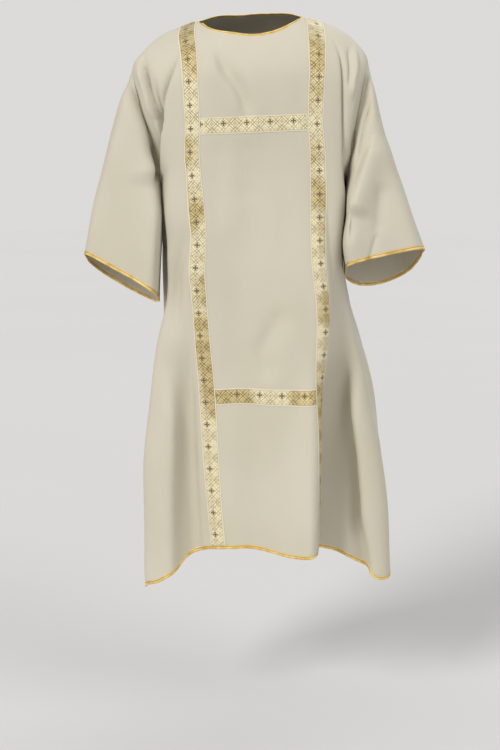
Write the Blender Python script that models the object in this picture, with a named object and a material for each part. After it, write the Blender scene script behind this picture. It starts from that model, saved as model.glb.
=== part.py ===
"""A dalmatic, hanging as it is worn: front, back, two wide sleeves, gold galloons and bindings.

Metres. +X is the wearer's left, +Y the wearer's back, +Z up. The origin is where the garment
rests on the wearer, on the shoulder line at the middle of the neck. The cloth is worked out
standing upright, and posed() then leans it as the wearer stands.

Two numbers place a point on the front or the back: reach, its distance from the middle along
the cloth seen from above, and down, how far it hangs below the shoulder line of its own thread.
"""

import math
from typing import NamedTuple

import bmesh
import bpy
import numpy as np

# Cloth and seams
CLOTH_WALL = 0.0016
GALLOON_WALL = 0.0010
BINDING_WALL = 0.0028
BINDING_WIDTH = 0.008
SEAM_GAP = 0.0003
GALLOON_WIDTH = 0.034

# The cut of the body
NECK_REACH = 0.1145  # half the neck, along the shoulder line
TIP_REACH = 0.250  # the dropped shoulder seam
UNDERARM_DOWN = 0.265
HEM_DOWN = 1.085  # to the binding's lower edge
HEM_REACH = 0.415  # half the width of a panel at its hem
FRONT_NECK_DROP = 0.036
BACK_NECK_DROP = 0.010
NAPE_RISE = 0.022

# The shoulder line falls by slope * run + bend * run**3 from the neck to the dropped seam.
SHOULDER_SLOPE = 0.30
SHOULDER_BEND = 20.0
FLARE_EVENS = 0.2  # the share of that fall which the flare takes out again by the hem
FLARE_SPREADS = 0.6  # and how much wider it spreads what is left
SHOULDER_ROLL = 0.12  # height over which the cloth rolls over from the shoulder

# The dropped seam, from the shoulder tip down to the underarm
ARMHOLE_DEPTH = 0.078  # how far it bows to the front and to the back
EDGE_TURN = 0.72  # the share of a panel's reach past which it turns towards its edge
FOLDS_END = 0.84  # the share past which its folds die out

# Galloons
GALLOON_REACH = NECK_REACH + GALLOON_WIDTH / 2
CHEST_GALLOON_DOWN = 0.210
KNEE_GALLOON_DOWN = 0.762

LEAN_DEGREES = 2.3  # the wearer's weight is on the left foot


class BodySection(NamedTuple):
    """A level of the body: half its width, its depths, and how square its corners are.

    side_depth is how far the panels stand off from the middle plane where they near their edges.
    """

    down: float
    half_width: float
    front: float
    back: float
    side_depth: float
    squareness: float


BODY_SECTIONS = (
    BodySection(0.00, 0.248, 0.118, 0.112, 0.000, 3.2),
    BodySection(0.06, 0.232, 0.124, 0.124, 0.062, 3.2),
    BodySection(0.15, 0.208, 0.132, 0.134, 0.078, 3.2),
    BodySection(0.27, 0.182, 0.134, 0.132, 0.050, 3.0),
    BodySection(0.33, 0.174, 0.135, 0.128, 0.030, 2.9),
    BodySection(0.42, 0.172, 0.136, 0.122, 0.012, 2.8),
    BodySection(0.52, 0.190, 0.138, 0.122, 0.000, 2.6),
    BodySection(0.67, 0.226, 0.142, 0.135, 0.000, 2.4),
    BodySection(0.88, 0.244, 0.148, 0.155, 0.000, 2.3),
    BodySection(1.10, 0.250, 0.152, 0.170, 0.000, 2.3),
)


class PanelEdge(NamedTuple):
    """Where the panels' edges lie at a level: how far aside, and behind the middle plane."""

    down: float
    x: float
    behind: float


PANEL_EDGES = {
    -1: (
        PanelEdge(0.00, 0.248, 0.000),
        PanelEdge(0.06, 0.232, 0.000),
        PanelEdge(0.15, 0.210, 0.000),
        PanelEdge(UNDERARM_DOWN, 0.194, 0.000),
        PanelEdge(0.30, 0.193, 0.014),
        PanelEdge(0.36, 0.205, 0.046),
        PanelEdge(0.42, 0.213, 0.058),
        PanelEdge(0.52, 0.207, 0.042),
        PanelEdge(0.67, 0.226, 0.010),
        PanelEdge(0.88, 0.244, 0.000),
        PanelEdge(1.10, 0.250, 0.000),
    ),
    1: (
        PanelEdge(0.00, 0.248, 0.000),
        PanelEdge(0.06, 0.232, 0.000),
        PanelEdge(0.15, 0.207, 0.000),
        PanelEdge(UNDERARM_DOWN, 0.184, 0.000),
        PanelEdge(0.30, 0.179, 0.012),
        PanelEdge(0.36, 0.184, 0.042),
        PanelEdge(0.42, 0.185, 0.056),
        PanelEdge(0.52, 0.193, 0.038),
        PanelEdge(0.67, 0.226, 0.010),
        PanelEdge(0.88, 0.244, 0.000),
        PanelEdge(1.10, 0.250, 0.000),
    ),
}


class Fold(NamedTuple):
    """A soft ridge or trough down a panel, which grows from start to full.

    It moves the cloth aside (away from the middle), out (from the wearer) and lower.
    """

    panel: str
    reach_start: float
    reach_hem: float
    start: float
    full: float
    width_start: float
    width_hem: float
    aside: float
    out: float
    lower: float = 0.0


FOLDS = (
    Fold("front", -0.165, -0.310, 0.26, 0.85, 0.025, 0.055, 0.036, 0.005, 0.018),
    Fold("front", -0.150, -0.180, 0.40, 1.05, 0.035, 0.060, 0.000, -0.045, 0.001),
    Fold("front", -0.060, -0.040, 0.50, 1.05, 0.060, 0.070, 0.000, -0.010, -0.010),
    Fold("front", 0.060, 0.060, 0.35, 1.05, 0.060, 0.060, 0.000, 0.025, 0.010),
    Fold("front", 0.140, 0.096, 0.35, 1.05, 0.045, 0.040, 0.018, 0.026),
    Fold("front", 0.200, 0.200, 0.35, 1.05, 0.040, 0.050, -0.060, -0.080),
    Fold("front", 0.215, 0.290, 0.40, 1.05, 0.040, 0.040, -0.020, -0.030),
    Fold("front", 0.185, 0.350, 0.30, 1.00, 0.030, 0.045, 0.010, 0.010, 0.022),
    Fold("back", -0.190, -0.270, 0.45, 1.05, 0.040, 0.055, 0.020, 0.040),
    Fold("back", -0.110, -0.140, 0.25, 1.00, 0.040, 0.050, 0.000, -0.035),
    Fold("back", 0.000, -0.015, 0.20, 1.00, 0.045, 0.060, 0.000, 0.035),
    Fold("back", 0.100, 0.130, 0.25, 1.00, 0.040, 0.050, 0.000, -0.040),
    Fold("back", 0.190, 0.265, 0.45, 1.05, 0.040, 0.055, 0.010, 0.045),
)


class SleeveSection(NamedTuple):
    """A ring of a sleeve: its outer and inner corners seen from the front, and its depths.

    inner_forward is how far in front of the middle plane the inner corner lies. The front wall is
    drawn up by front_lift, and the back one hangs down by back_hang.
    """

    along: float
    outer_x: float
    outer_down: float
    inner_x: float
    inner_down: float
    front: float
    back: float
    front_lift: float
    back_hang: float
    inner_forward: float


SHOULDER_RUN = TIP_REACH - NECK_REACH
TIP_DOWN = SHOULDER_SLOPE * SHOULDER_RUN + SHOULDER_BEND * SHOULDER_RUN**3
PIT_DOWN = TIP_DOWN + UNDERARM_DOWN
ARMHOLE_DEPTHS = (ARMHOLE_DEPTH, ARMHOLE_DEPTH)
SLEEVE_SECTIONS = {
    -1: (
        SleeveSection(0.00, 0.248, TIP_DOWN, 0.194, PIT_DOWN, *ARMHOLE_DEPTHS, 0.0, 0.0, 0.0),
        SleeveSection(0.30, 0.286, 0.205, 0.200, 0.395, 0.104, 0.092, 0.000, 0.000, 0.026),
        SleeveSection(0.65, 0.330, 0.350, 0.206, 0.480, 0.112, 0.100, 0.010, 0.010, 0.044),
        SleeveSection(1.00, 0.361, 0.478, 0.214, 0.562, 0.100, 0.108, 0.026, 0.030, 0.048),
    ),
    1: (
        SleeveSection(0.00, 0.248, TIP_DOWN, 0.184, PIT_DOWN, *ARMHOLE_DEPTHS, 0.0, 0.0, 0.0),
        SleeveSection(0.30, 0.268, 0.210, 0.187, 0.395, 0.104, 0.092, 0.000, 0.000, 0.030),
        SleeveSection(0.65, 0.305, 0.365, 0.182, 0.460, 0.112, 0.100, 0.008, 0.020, 0.052),
        SleeveSection(1.00, 0.342, 0.494, 0.180, 0.514, 0.100, 0.108, 0.022, 0.060, 0.062),
    ),
}

# Rows down the panels, and the columns of the front between its side and its middle
CHEST_GALLOON_ROWS = (CHEST_GALLOON_DOWN - GALLOON_WIDTH / 2, CHEST_GALLOON_DOWN + GALLOON_WIDTH / 2)
KNEE_GALLOON_ROWS = (KNEE_GALLOON_DOWN - GALLOON_WIDTH / 2, KNEE_GALLOON_DOWN + GALLOON_WIDTH / 2)
ROWS_TO_UNDERARM = (0.0, 0.008, 0.030, 0.064, 0.105, 0.150, *CHEST_GALLOON_ROWS, 0.252, UNDERARM_DOWN)
BODY_ROWS = (
    *ROWS_TO_UNDERARM,
    *(0.31, 0.36, 0.42, 0.49, 0.57, 0.66),
    *KNEE_GALLOON_ROWS,
    *(0.85, 0.92, 0.985, 1.04, HEM_DOWN - BINDING_WIDTH - SEAM_GAP),
)
OUTER_COLUMNS = 12
OUTER_COLUMNS_BACK = 8
INNER_COLUMNS = 12
INNER_COLUMNS_BACK = 8
GALLOON_COLUMNS = 2
SLEEVE_ROWS = (0.0, 0.08, 0.20, 0.35, 0.50, 0.65, 0.80, 0.92, 0.98)
ARC_SAMPLES = 160

CLOTH = ("cloth", (0.62, 0.57, 0.44), 0.75, 0.0)
GALLOON = ("galloon", (0.68, 0.54, 0.24), 0.45, 0.3)
BINDING = ("binding", (0.60, 0.38, 0.09), 0.40, 0.4)


# ------------------------------------------------------------------ curves


def smooth_step(value, low, high):
    share = np.clip((value - low) / (high - low), 0.0, 1.0)
    return share * share * (3.0 - 2.0 * share)


def smooth_through(places, values, at):
    """A smooth curve through a table's values, read at the given places."""
    places = np.asarray(places, float)
    values = np.asarray(values, float)
    slopes = np.gradient(values, places)
    at = np.clip(at, places[0], places[-1])
    index = np.clip(np.searchsorted(places, at, side="right") - 1, 0, len(places) - 2)
    step = places[index + 1] - places[index]
    t = (at - places[index]) / step
    return (
        (2 * t**3 - 3 * t**2 + 1) * values[index]
        + (t**3 - 2 * t**2 + t) * step * slopes[index]
        + (3 * t**2 - 2 * t**3) * values[index + 1]
        + (t**3 - t**2) * step * slopes[index + 1]
    )


def table_column(table, key, name, at):
    return smooth_through([getattr(row, key) for row in table], [getattr(row, name) for row in table], at)


def posed(points):
    """Leans the upright garment about the Y axis, as the wearer stands."""
    lean = math.radians(LEAN_DEGREES)
    turn = np.array(
        [[math.cos(lean), 0.0, -math.sin(lean)], [0.0, 1.0, 0.0], [math.sin(lean), 0.0, math.cos(lean)]]
    )
    return points @ turn.T


# ------------------------------------------------------------------ the body


def shoulder_fall(reach, down=0.0):
    """How far the thread at this reach hangs below the one at the neck. The flare evens it out."""
    flared = smooth_step(down, UNDERARM_DOWN, HEM_DOWN)
    run = (np.abs(reach) - NECK_REACH) / (1.0 + FLARE_SPREADS * flared)
    run = np.clip(run, 0.0, TIP_REACH - NECK_REACH)
    kept = 1.0 - FLARE_EVENS * flared
    return (SHOULDER_SLOPE * run + SHOULDER_BEND * run**3) * kept


def panel_reach(down):
    """Half the width of a panel at this level."""
    flare = max(0.0, (down - UNDERARM_DOWN) / (HEM_DOWN - UNDERARM_DOWN))
    return TIP_REACH + (HEM_REACH - TIP_REACH) * flare


def panel_edge(down, side, hand):
    """The x of a panel's edge and how far out it lies on its side: the armhole, then the seam."""
    x, behind = (
        float(table_column(PANEL_EDGES[hand], "down", name, down)) for name in ("x", "behind")
    )
    if down >= UNDERARM_DOWN:
        return x, side * behind
    share = down / UNDERARM_DOWN
    return x, ARMHOLE_DEPTH * 2.0 * math.sqrt(share * (1.0 - share))


def body_curve(down, side, hand):
    """Half a level of the body seen from above, from the middle to its edge, evenly sampled."""
    half_width, front, back, side_depth, squareness = (
        float(table_column(BODY_SECTIONS, "down", name, down))
        for name in ("half_width", "front", "back", "side_depth", "squareness")
    )
    roll = min(1.0, down / SHOULDER_ROLL)
    middle_depth = (front if side < 0 else back) * math.sqrt(1.0 - (1.0 - roll) ** 2)
    side_depth = min(side_depth, middle_depth)
    angle = np.linspace(0.0, math.pi / 2, ARC_SAMPLES)
    x = half_width * np.sin(angle) ** (2.0 / squareness)
    depth = side_depth + (middle_depth - side_depth) * np.cos(angle) ** (2.0 / squareness)
    length = np.concatenate([[0.0], np.cumsum(np.hypot(np.diff(x), np.diff(depth)))])
    share = np.linspace(0.0, 1.0, ARC_SAMPLES)
    x = np.interp(share * length[-1], length, x)
    depth = np.interp(share * length[-1], length, depth)
    edge_x, edge_depth = panel_edge(down, side, hand)
    near_edge = smooth_step(share, EDGE_TURN, 1.0)
    return share, x + (edge_x - x[-1]) * near_edge, depth + (edge_depth - depth[-1]) * near_edge


def fold_moves(side, reach, down):
    """How far the folds move the points of a row: aside, out and lower."""
    moves = np.zeros((3, len(reach)))
    for fold in FOLDS:
        share = (down - fold.start) / (HEM_DOWN - fold.start)
        if (fold.panel == "front") != (side < 0) or share <= 0.0:
            continue
        middle = fold.reach_start + (fold.reach_hem - fold.reach_start) * share
        width = fold.width_start + (fold.width_hem - fold.width_start) * share
        grown = float(smooth_step(down, fold.start, fold.full))
        bump = grown * np.exp(-(((reach - middle) / width) ** 2))
        moves += np.outer((fold.aside, fold.out, fold.lower), bump)
    return moves * (1.0 - smooth_step(np.abs(reach) / panel_reach(down), FOLDS_END, 1.0))


def body_row(side, reach, down):
    """Points of one row of the front (side -1) or the back (side 1)."""
    at = np.abs(reach) / panel_reach(down)
    aside, out, lower = fold_moves(side, reach, down)
    x = np.zeros(len(reach))
    depth = np.zeros(len(reach))
    for hand in (-1, 1):
        chosen = reach * hand >= 0.0
        share, curve_x, curve_depth = body_curve(down, side, hand)
        x[chosen] = hand * (np.interp(at[chosen], share, curve_x) + aside[chosen])
        depth[chosen] = np.interp(at[chosen], share, curve_depth) + out[chosen]
    z = -down - shoulder_fall(reach, down) - lower
    if side > 0:
        rise = np.clip(1.0 - (reach / NECK_REACH) ** 2, 0.0, 1.0)
        z = z + NAPE_RISE * rise * (1.0 - float(smooth_step(down, 0.0, 0.15)))
    return np.stack([x, side * depth, z], axis=-1)


def body_columns(down, outer, inner):
    """Reaches across a row: evenly spread from the side to the galloon, and held by it inside."""
    edge = GALLOON_REACH + GALLOON_WIDTH / 2
    half = np.concatenate(
        [
            np.linspace(0.0, NECK_REACH, inner // 2 + 1),
            np.linspace(NECK_REACH, edge, GALLOON_COLUMNS + 1)[1:],
            np.linspace(edge, panel_reach(down), outer + 1)[1:],
        ]
    )
    return np.concatenate([-half[:0:-1], half])


def neck_row_down(side, reach, down):
    """Draws the rows near the top down to the neckline."""
    drop = FRONT_NECK_DROP if side < 0 else BACK_NECK_DROP
    dip = drop * np.clip(1.0 - (reach / NECK_REACH) ** 2, 0.0, 1.0)
    return down + dip * (1.0 - smooth_step(down, 0.0, 0.16))


def body_grid(side, outer, inner):
    """Rows of points from the shoulder to the binding at the hem."""
    rows = []
    for down in BODY_ROWS:
        reach = body_columns(down, outer, inner)
        downs = neck_row_down(side, reach, down)
        rows.append(np.array([body_row(side, reach[i : i + 1], downs[i])[0] for i in range(len(reach))]))
    return np.array(rows)


# ------------------------------------------------------------------ the sleeves


def armhole_ring():
    """Levels round the armhole, from the shoulder tip down the front and up behind: (side, down)."""
    return [(-1, down) for down in ROWS_TO_UNDERARM] + [(1, down) for down in ROWS_TO_UNDERARM[-2:0:-1]]


def sleeve_ring(hand, along):
    """Points of one ring of a sleeve, which starts as the armhole and opens out to the cuff."""
    table = SLEEVE_SECTIONS[hand]
    columns = (float(table_column(table, "along", name, along)) for name in SleeveSection._fields[1:])
    now = SleeveSection(along, *columns)
    as_armhole = 1.0 - float(smooth_step(along, 0.0, 0.45))
    first = table[0]
    points = []
    for side, armhole_down in armhole_ring():
        share = armhole_down / UNDERARM_DOWN
        bow = 2.0 * math.sqrt(share * (1.0 - share))
        armhole_x = panel_edge(armhole_down, side, hand)[0]
        bent_x = armhole_x - first.outer_x - (first.inner_x - first.outer_x) * share
        x = now.outer_x + (now.inner_x - now.outer_x) * share + bent_x * as_armhole
        down = now.outer_down + (now.inner_down - now.outer_down) * share
        if side < 0:
            down -= now.front_lift * bow
            depth = -now.front * bow
        else:
            down += now.back_hang * bow
            depth = now.back * bow
        points.append((hand * x, depth - now.inner_forward * share**2, -down))
    return np.array(points)


# ------------------------------------------------------------------ walls


def spot(point):
    return tuple(np.round(point * 1e5).astype(int))


class Normals:
    """Shared normals: pieces that meet at a seam get the same one along it."""

    def __init__(self):
        self.sums = {}

    def add(self, grid, closed):
        rows, columns = grid.shape[:2]
        for i in range(rows - 1):
            for j in range(columns if closed else columns - 1):
                k = (j + 1) % columns
                corners = grid[i, j], grid[i, k], grid[i + 1, k], grid[i + 1, j]
                face = np.cross(corners[2] - corners[0], corners[3] - corners[1])
                for corner in corners:
                    self.sums[spot(corner)] = self.sums.get(spot(corner), 0.0) - face

    def of(self, grid):
        normals = np.array([[self.sums[spot(point)] for point in row] for row in grid])
        return normals / np.linalg.norm(normals, axis=-1, keepdims=True)


def pulled_in(grid, edges, gap):
    """Moves the named edge rows or columns back by half a seam's gap."""
    grid = grid.copy()
    for edge in edges:
        if edge == "first_row":
            edge_points, next_points = grid[0], grid[1]
        elif edge == "last_row":
            edge_points, next_points = grid[-1], grid[-2]
        elif edge == "first_column":
            edge_points, next_points = grid[:, 0], grid[:, 1]
        else:
            edge_points, next_points = grid[:, -1], grid[:, -2]
        step = next_points - edge_points
        edge_points += step / np.linalg.norm(step, axis=-1, keepdims=True) * gap
    return grid


def wall_object(name, inner, outer, finish, closed=False):
    """One closed solid between two grids of points. A closed one's rows are rings."""
    rows, columns = inner.shape[:2]
    mesh = bpy.data.meshes.new(name)
    shape = bmesh.new()
    layers = [[[shape.verts.new(point) for point in row] for row in grid] for grid in (inner, outer)]
    last = columns if closed else columns - 1
    for i in range(rows - 1):
        for j in range(last):
            k = (j + 1) % columns
            for layer in layers:
                shape.faces.new((layer[i][j], layer[i][k], layer[i + 1][k], layer[i + 1][j]))
    under, over = layers
    for i in (0, rows - 1):
        for j in range(last):
            k = (j + 1) % columns
            shape.faces.new((under[i][j], under[i][k], over[i][k], over[i][j]))
    if not closed:
        for j in (0, columns - 1):
            for i in range(rows - 1):
                shape.faces.new((under[i][j], under[i + 1][j], over[i + 1][j], over[i][j]))
    bmesh.ops.triangulate(shape, faces=shape.faces)
    bmesh.ops.recalc_face_normals(shape, faces=shape.faces)
    shape.to_mesh(mesh)
    shape.free()
    mesh.shade_smooth()
    mesh.set_sharp_from_angle(angle=math.radians(40))
    piece = bpy.data.objects.new(name, mesh)
    mesh.materials.append(finish_of(*finish))
    bpy.context.scene.collection.objects.link(piece)
    return piece


def cloth_wall(name, grid, normals, closed=False):
    half = normals * CLOTH_WALL / 2
    return wall_object(name, posed(grid - half), posed(grid + half), CLOTH, closed)


def galloon_on(name, grid, normals):
    """A strip of braid on the outside of the cloth points given."""
    low = CLOTH_WALL / 2 + SEAM_GAP
    return wall_object(
        name, posed(grid + normals * low), posed(grid + normals * (low + GALLOON_WALL)), GALLOON
    )


def binding_along(name, edge, before, normals):
    """A closed band that carries the cloth on past a ring of edge points. before lies inside it."""
    ring = np.roll(edge, -1, axis=0) - np.roll(edge, 1, axis=0)
    away = np.cross(ring, normals)
    away /= np.linalg.norm(away, axis=-1, keepdims=True)
    if np.sum(away * (edge - before)) < 0.0:
        away = -away
    near = edge + away * SEAM_GAP
    far = edge + away * (SEAM_GAP + BINDING_WIDTH)
    half = normals * BINDING_WALL / 2
    inner = np.array([near - half, far - half])
    outer = np.array([near + half, far + half])
    return wall_object(name, posed(inner), posed(outer), BINDING, closed=True)


def finish_of(name, colour, roughness, metallic):
    material = bpy.data.materials.get(name) or bpy.data.materials.new(name)
    material.use_nodes = True
    shader = material.node_tree.nodes["Principled BSDF"]
    shader.inputs["Base Color"].default_value = (*colour, 1.0)
    shader.inputs["Roughness"].default_value = roughness
    shader.inputs["Metallic"].default_value = metallic
    return material


# ------------------------------------------------------------------ the garment


def front_columns(low_reach, high_reach):
    """The slice of the front's columns that lie between two of its fixed reaches."""
    reaches = body_columns(0.0, OUTER_COLUMNS, INNER_COLUMNS)
    low = int(np.argmin(np.abs(reaches - low_reach)))
    high = int(np.argmin(np.abs(reaches - high_reach)))
    return slice(low, high + 1)


def around_neck(front, back):
    """The neckline as one ring, and the row of points below it."""
    neck = front_columns(-NECK_REACH, NECK_REACH)
    spare = OUTER_COLUMNS_BACK + GALLOON_COLUMNS
    behind = slice(spare + 1, back.shape[1] - spare - 1)
    return [np.concatenate([front[row, neck], back[row, behind]]) for row in (0, 1)]


def make_galloons(front, normals):
    half_width = GALLOON_WIDTH / 2
    for hand, word in ((-1, "right"), (1, "left")):
        middle = hand * GALLOON_REACH
        strip = front_columns(middle - half_width, middle + half_width)
        grid = pulled_in(front[:, strip], ("first_row",), SEAM_GAP / 2)
        galloon_on(f"galloon_{word}", grid, normals[:, strip])
    across = front_columns(-NECK_REACH, NECK_REACH)
    rows = list(BODY_ROWS)
    for word, middle in (("chest", CHEST_GALLOON_DOWN), ("knee", KNEE_GALLOON_DOWN)):
        band = slice(rows.index(middle - half_width), rows.index(middle + half_width) + 1)
        grid = pulled_in(front[band, across], ("first_column", "last_column"), SEAM_GAP)
        galloon_on(f"galloon_{word}", grid, normals[band, across])


def main():
    for item in list(bpy.data.objects):
        bpy.data.objects.remove(item, do_unlink=True)

    front = body_grid(-1, OUTER_COLUMNS, INNER_COLUMNS)
    back = body_grid(1, OUTER_COLUMNS_BACK, INNER_COLUMNS_BACK)[:, ::-1]
    sleeves = {hand: np.array([sleeve_ring(hand, along) for along in SLEEVE_ROWS]) for hand in (-1, 1)}

    normals = Normals()
    normals.add(front, False)
    normals.add(back, False)
    normals.add(sleeves[-1], True)
    normals.add(sleeves[1][:, ::-1], True)

    body_edges = ("first_row", "first_column", "last_column")
    cloth_wall("front", pulled_in(front, body_edges, SEAM_GAP / 2), normals.of(front))
    cloth_wall("back", pulled_in(back, body_edges, SEAM_GAP / 2), normals.of(back))
    make_galloons(front, normals.of(front))
    for hand, word in ((-1, "right"), (1, "left")):
        grid = sleeves[hand]
        pulled = pulled_in(grid, ("first_row",), SEAM_GAP / 2)
        cloth_wall(f"sleeve_{word}", pulled, normals.of(grid), closed=True)
        binding_along(f"cuff_binding_{word}", grid[-1], grid[-2], normals.of(grid[-1:])[0])
    neckline, below = around_neck(front, back)
    binding_along("neck_binding", neckline, below, normals.of(neckline[None])[0])
    hem = np.concatenate([front[-1], back[-1, 1:-1]])
    above = np.concatenate([front[-2], back[-2, 1:-1]])
    binding_along("hem_binding", hem, above, normals.of(hem[None])[0])


if __name__ == "__main__":
    main()
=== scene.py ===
"""A dalmatic as it hangs when worn: front, back, two wide sleeves, gold galloons and bindings.

Metres. +X is the wearer's left, +Y the wearer's back, +Z up. The origin is where the garment
rests on the wearer, on the shoulder line at the middle of the neck. The cloth is worked out
standing upright, and Cut.leaned() then leans it as the wearer stands.

Two numbers place a point on the front or the back: reach, its distance from the middle along
the cloth seen from above, and down, how far it hangs below the shoulder line of its own thread.
"""

from __future__ import annotations

import logging
import math
from dataclasses import dataclass, field
from enum import Enum

import bpy
import numpy as np
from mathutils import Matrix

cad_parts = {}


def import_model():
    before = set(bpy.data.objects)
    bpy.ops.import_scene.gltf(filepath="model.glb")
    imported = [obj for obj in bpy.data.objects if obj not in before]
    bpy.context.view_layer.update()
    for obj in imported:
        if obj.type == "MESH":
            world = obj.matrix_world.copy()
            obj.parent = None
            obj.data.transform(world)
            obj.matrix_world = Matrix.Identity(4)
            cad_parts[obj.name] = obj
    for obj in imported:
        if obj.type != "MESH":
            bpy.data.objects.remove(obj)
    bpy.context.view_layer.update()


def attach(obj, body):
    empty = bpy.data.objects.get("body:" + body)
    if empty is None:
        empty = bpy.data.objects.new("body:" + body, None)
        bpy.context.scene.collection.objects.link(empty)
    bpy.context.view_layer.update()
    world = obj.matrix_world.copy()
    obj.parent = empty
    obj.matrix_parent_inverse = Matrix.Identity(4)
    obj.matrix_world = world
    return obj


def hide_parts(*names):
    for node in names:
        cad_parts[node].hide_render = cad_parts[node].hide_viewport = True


log = logging.getLogger("dalmatic")
Points = np.ndarray
Colour = tuple[float, float, float]
Socket = bpy.types.NodeSocket
Sockets = dict[str, Socket]

CLOSE = 1e-6  # nearer than this, two levels or reaches are the same
TINY = 1e-12  # the least length that a direction is divided by
SEAM_GRID = 1e-5  # points of two grids that agree this closely are one
SHARP_EDGE = math.radians(48)
BODY_MIDDLE = np.array([0.0, 0.0, -0.5])
MILLIMETRE = 0.001


# ---------- the cut


class Side(Enum):
    """The two faces of the garment, by the sign of their Y."""

    FRONT = -1
    BACK = 1


class Hand(Enum):
    """The wearer's two hands, by the sign of their X."""

    RIGHT = -1
    LEFT = 1

    @property
    def word(self) -> str:
        """The word that ends a piece's name."""
        return self.name.lower()


class Cloth(Enum):
    """What a crease lies in."""

    BODY = "body"
    SLEEVE = "sleeve"
    BOTH = "both"


@dataclass(frozen=True)
class BodySection:
    """A level of the body: half its width, its depths, and how square its corners are."""

    down: float
    half_width: float
    front: float
    back: float
    side_depth: float
    squareness: float


@dataclass(frozen=True)
class PanelEdge:
    """Where the panels' edges lie at a level: how far aside, and behind the middle plane."""

    down: float
    x: float
    behind: float


@dataclass(frozen=True)
class Fold:
    """A broad ridge or trough that grows down a panel, moving it aside, out and lower."""

    side: Side
    reach_start: float
    reach_hem: float
    start: float
    full: float
    width_start: float
    width_hem: float
    aside: float
    out: float
    lower: float = 0.0


@dataclass(frozen=True)
class SleeveSection:
    """A ring of a sleeve: its corners seen from the front, its depths, and how its walls hang."""

    along: float
    outer_x: float
    outer_down: float
    inner_x: float
    inner_down: float
    front: float
    back: float
    front_lift: float
    back_hang: float
    inner_forward: float


@dataclass(frozen=True)
class Crease:
    """A soft ridge or trough along a line seen from the front, as (x, z) standing upright.

    It moves the cloth out along its own normal, aside along X, and lower. Its two slopes, towards
    the wearer's right and left, have their own widths, and it fades in and out at its ends.
    """

    line: tuple[tuple[float, float], ...]
    out: float
    right: float
    left: float
    cloth: Cloth = Cloth.BODY
    side: Side = Side.FRONT
    aside: float = 0.0
    lower: float = 0.0
    fade_in: float = 0.25
    fade_out: float = 0.25


@dataclass(frozen=True)
class Cut:
    """The sizes that every piece of the garment shares."""

    cloth_wall: float = 0.0016
    galloon_wall: float = 0.0010
    binding_wall: float = 0.0028
    binding_width: float = 0.008
    seam_gap: float = 0.0003
    galloon_width: float = 0.034
    neck_reach: float = 0.1145
    tip_reach: float = 0.250
    underarm_down: float = 0.265
    hem_down: float = 1.085
    hem_reach: float = 0.415
    front_neck_drop: float = 0.036
    back_neck_drop: float = 0.010
    nape_rise: float = 0.022
    shoulder_slope: float = 0.30
    shoulder_bend: float = 20.0
    flare_evens: float = 0.2
    flare_spreads: float = 0.6
    shoulder_roll: float = 0.12
    armhole_depth: float = 0.078
    edge_turn: float = 0.72
    folds_end: float = 0.84
    chest_galloon_down: float = 0.210
    knee_galloon_down: float = 0.762
    corner_rise: float = 0.012
    lean_degrees: float = 2.3

    @property
    def galloon_reach(self) -> float:
        """How far from the middle an upright galloon's own middle lies."""
        return self.neck_reach + self.galloon_width / 2

    @property
    def tip_down(self) -> float:
        """How far the shoulder line has fallen by the dropped seam."""
        run = self.tip_reach - self.neck_reach
        return self.shoulder_slope * run + self.shoulder_bend * run**3

    @property
    def pit_down(self) -> float:
        """How far below the neck's shoulder line the underarm lies."""
        return self.tip_down + self.underarm_down

    def panel_reach(self, down: Points | float) -> Points:
        """Half the width of a panel at these levels."""
        flare = (np.asarray(down, float) - self.underarm_down) / (self.hem_down - self.underarm_down)
        return self.tip_reach + (self.hem_reach - self.tip_reach) * np.maximum(0.0, flare)

    def leaned(self, points: Points) -> Points:
        """Lean upright points about the Y axis, as the wearer stands.

        Args:
            points: Upright points, their last axis x, y and z.

        Returns:
            The same points, leaned.
        """
        lean = math.radians(self.lean_degrees)
        cos, sin = math.cos(lean), math.sin(lean)
        turn = np.array([[cos, 0.0, -sin], [0.0, 1.0, 0.0], [sin, 0.0, cos]])
        return points @ turn.T


BODY_SECTIONS = (
    BodySection(0.00, 0.248, 0.118, 0.112, 0.000, 3.2),
    BodySection(0.06, 0.232, 0.124, 0.124, 0.062, 3.2),
    BodySection(0.15, 0.208, 0.132, 0.134, 0.078, 3.2),
    BodySection(0.27, 0.186, 0.132, 0.132, 0.050, 5.2),
    BodySection(0.33, 0.181, 0.132, 0.128, 0.030, 7.0),
    BodySection(0.42, 0.175, 0.133, 0.122, 0.012, 7.0),
    BodySection(0.52, 0.186, 0.136, 0.122, 0.000, 4.6),
    BodySection(0.67, 0.226, 0.142, 0.135, 0.000, 2.4),
    BodySection(0.88, 0.244, 0.148, 0.155, 0.000, 2.3),
    BodySection(1.10, 0.250, 0.152, 0.170, 0.000, 2.3),
)

PANEL_EDGES = {
    Hand.RIGHT: (
        PanelEdge(0.00, 0.243, 0.000),
        PanelEdge(0.06, 0.232, 0.000),
        PanelEdge(0.15, 0.210, 0.000),
        PanelEdge(0.265, 0.194, 0.000),
        PanelEdge(0.30, 0.196, 0.016),
        PanelEdge(0.36, 0.200, 0.046),
        PanelEdge(0.42, 0.205, 0.058),
        PanelEdge(0.52, 0.207, 0.042),
        PanelEdge(0.67, 0.226, 0.010),
        PanelEdge(0.88, 0.244, 0.000),
        PanelEdge(1.10, 0.250, 0.000),
    ),
    Hand.LEFT: (
        PanelEdge(0.00, 0.239, 0.000),
        PanelEdge(0.06, 0.226, 0.000),
        PanelEdge(0.15, 0.204, 0.000),
        PanelEdge(0.265, 0.184, 0.000),
        PanelEdge(0.30, 0.179, 0.012),
        PanelEdge(0.36, 0.177, 0.042),
        PanelEdge(0.42, 0.175, 0.056),
        PanelEdge(0.52, 0.188, 0.038),
        PanelEdge(0.67, 0.226, 0.010),
        PanelEdge(0.88, 0.244, 0.000),
        PanelEdge(1.10, 0.250, 0.000),
    ),
}

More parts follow.
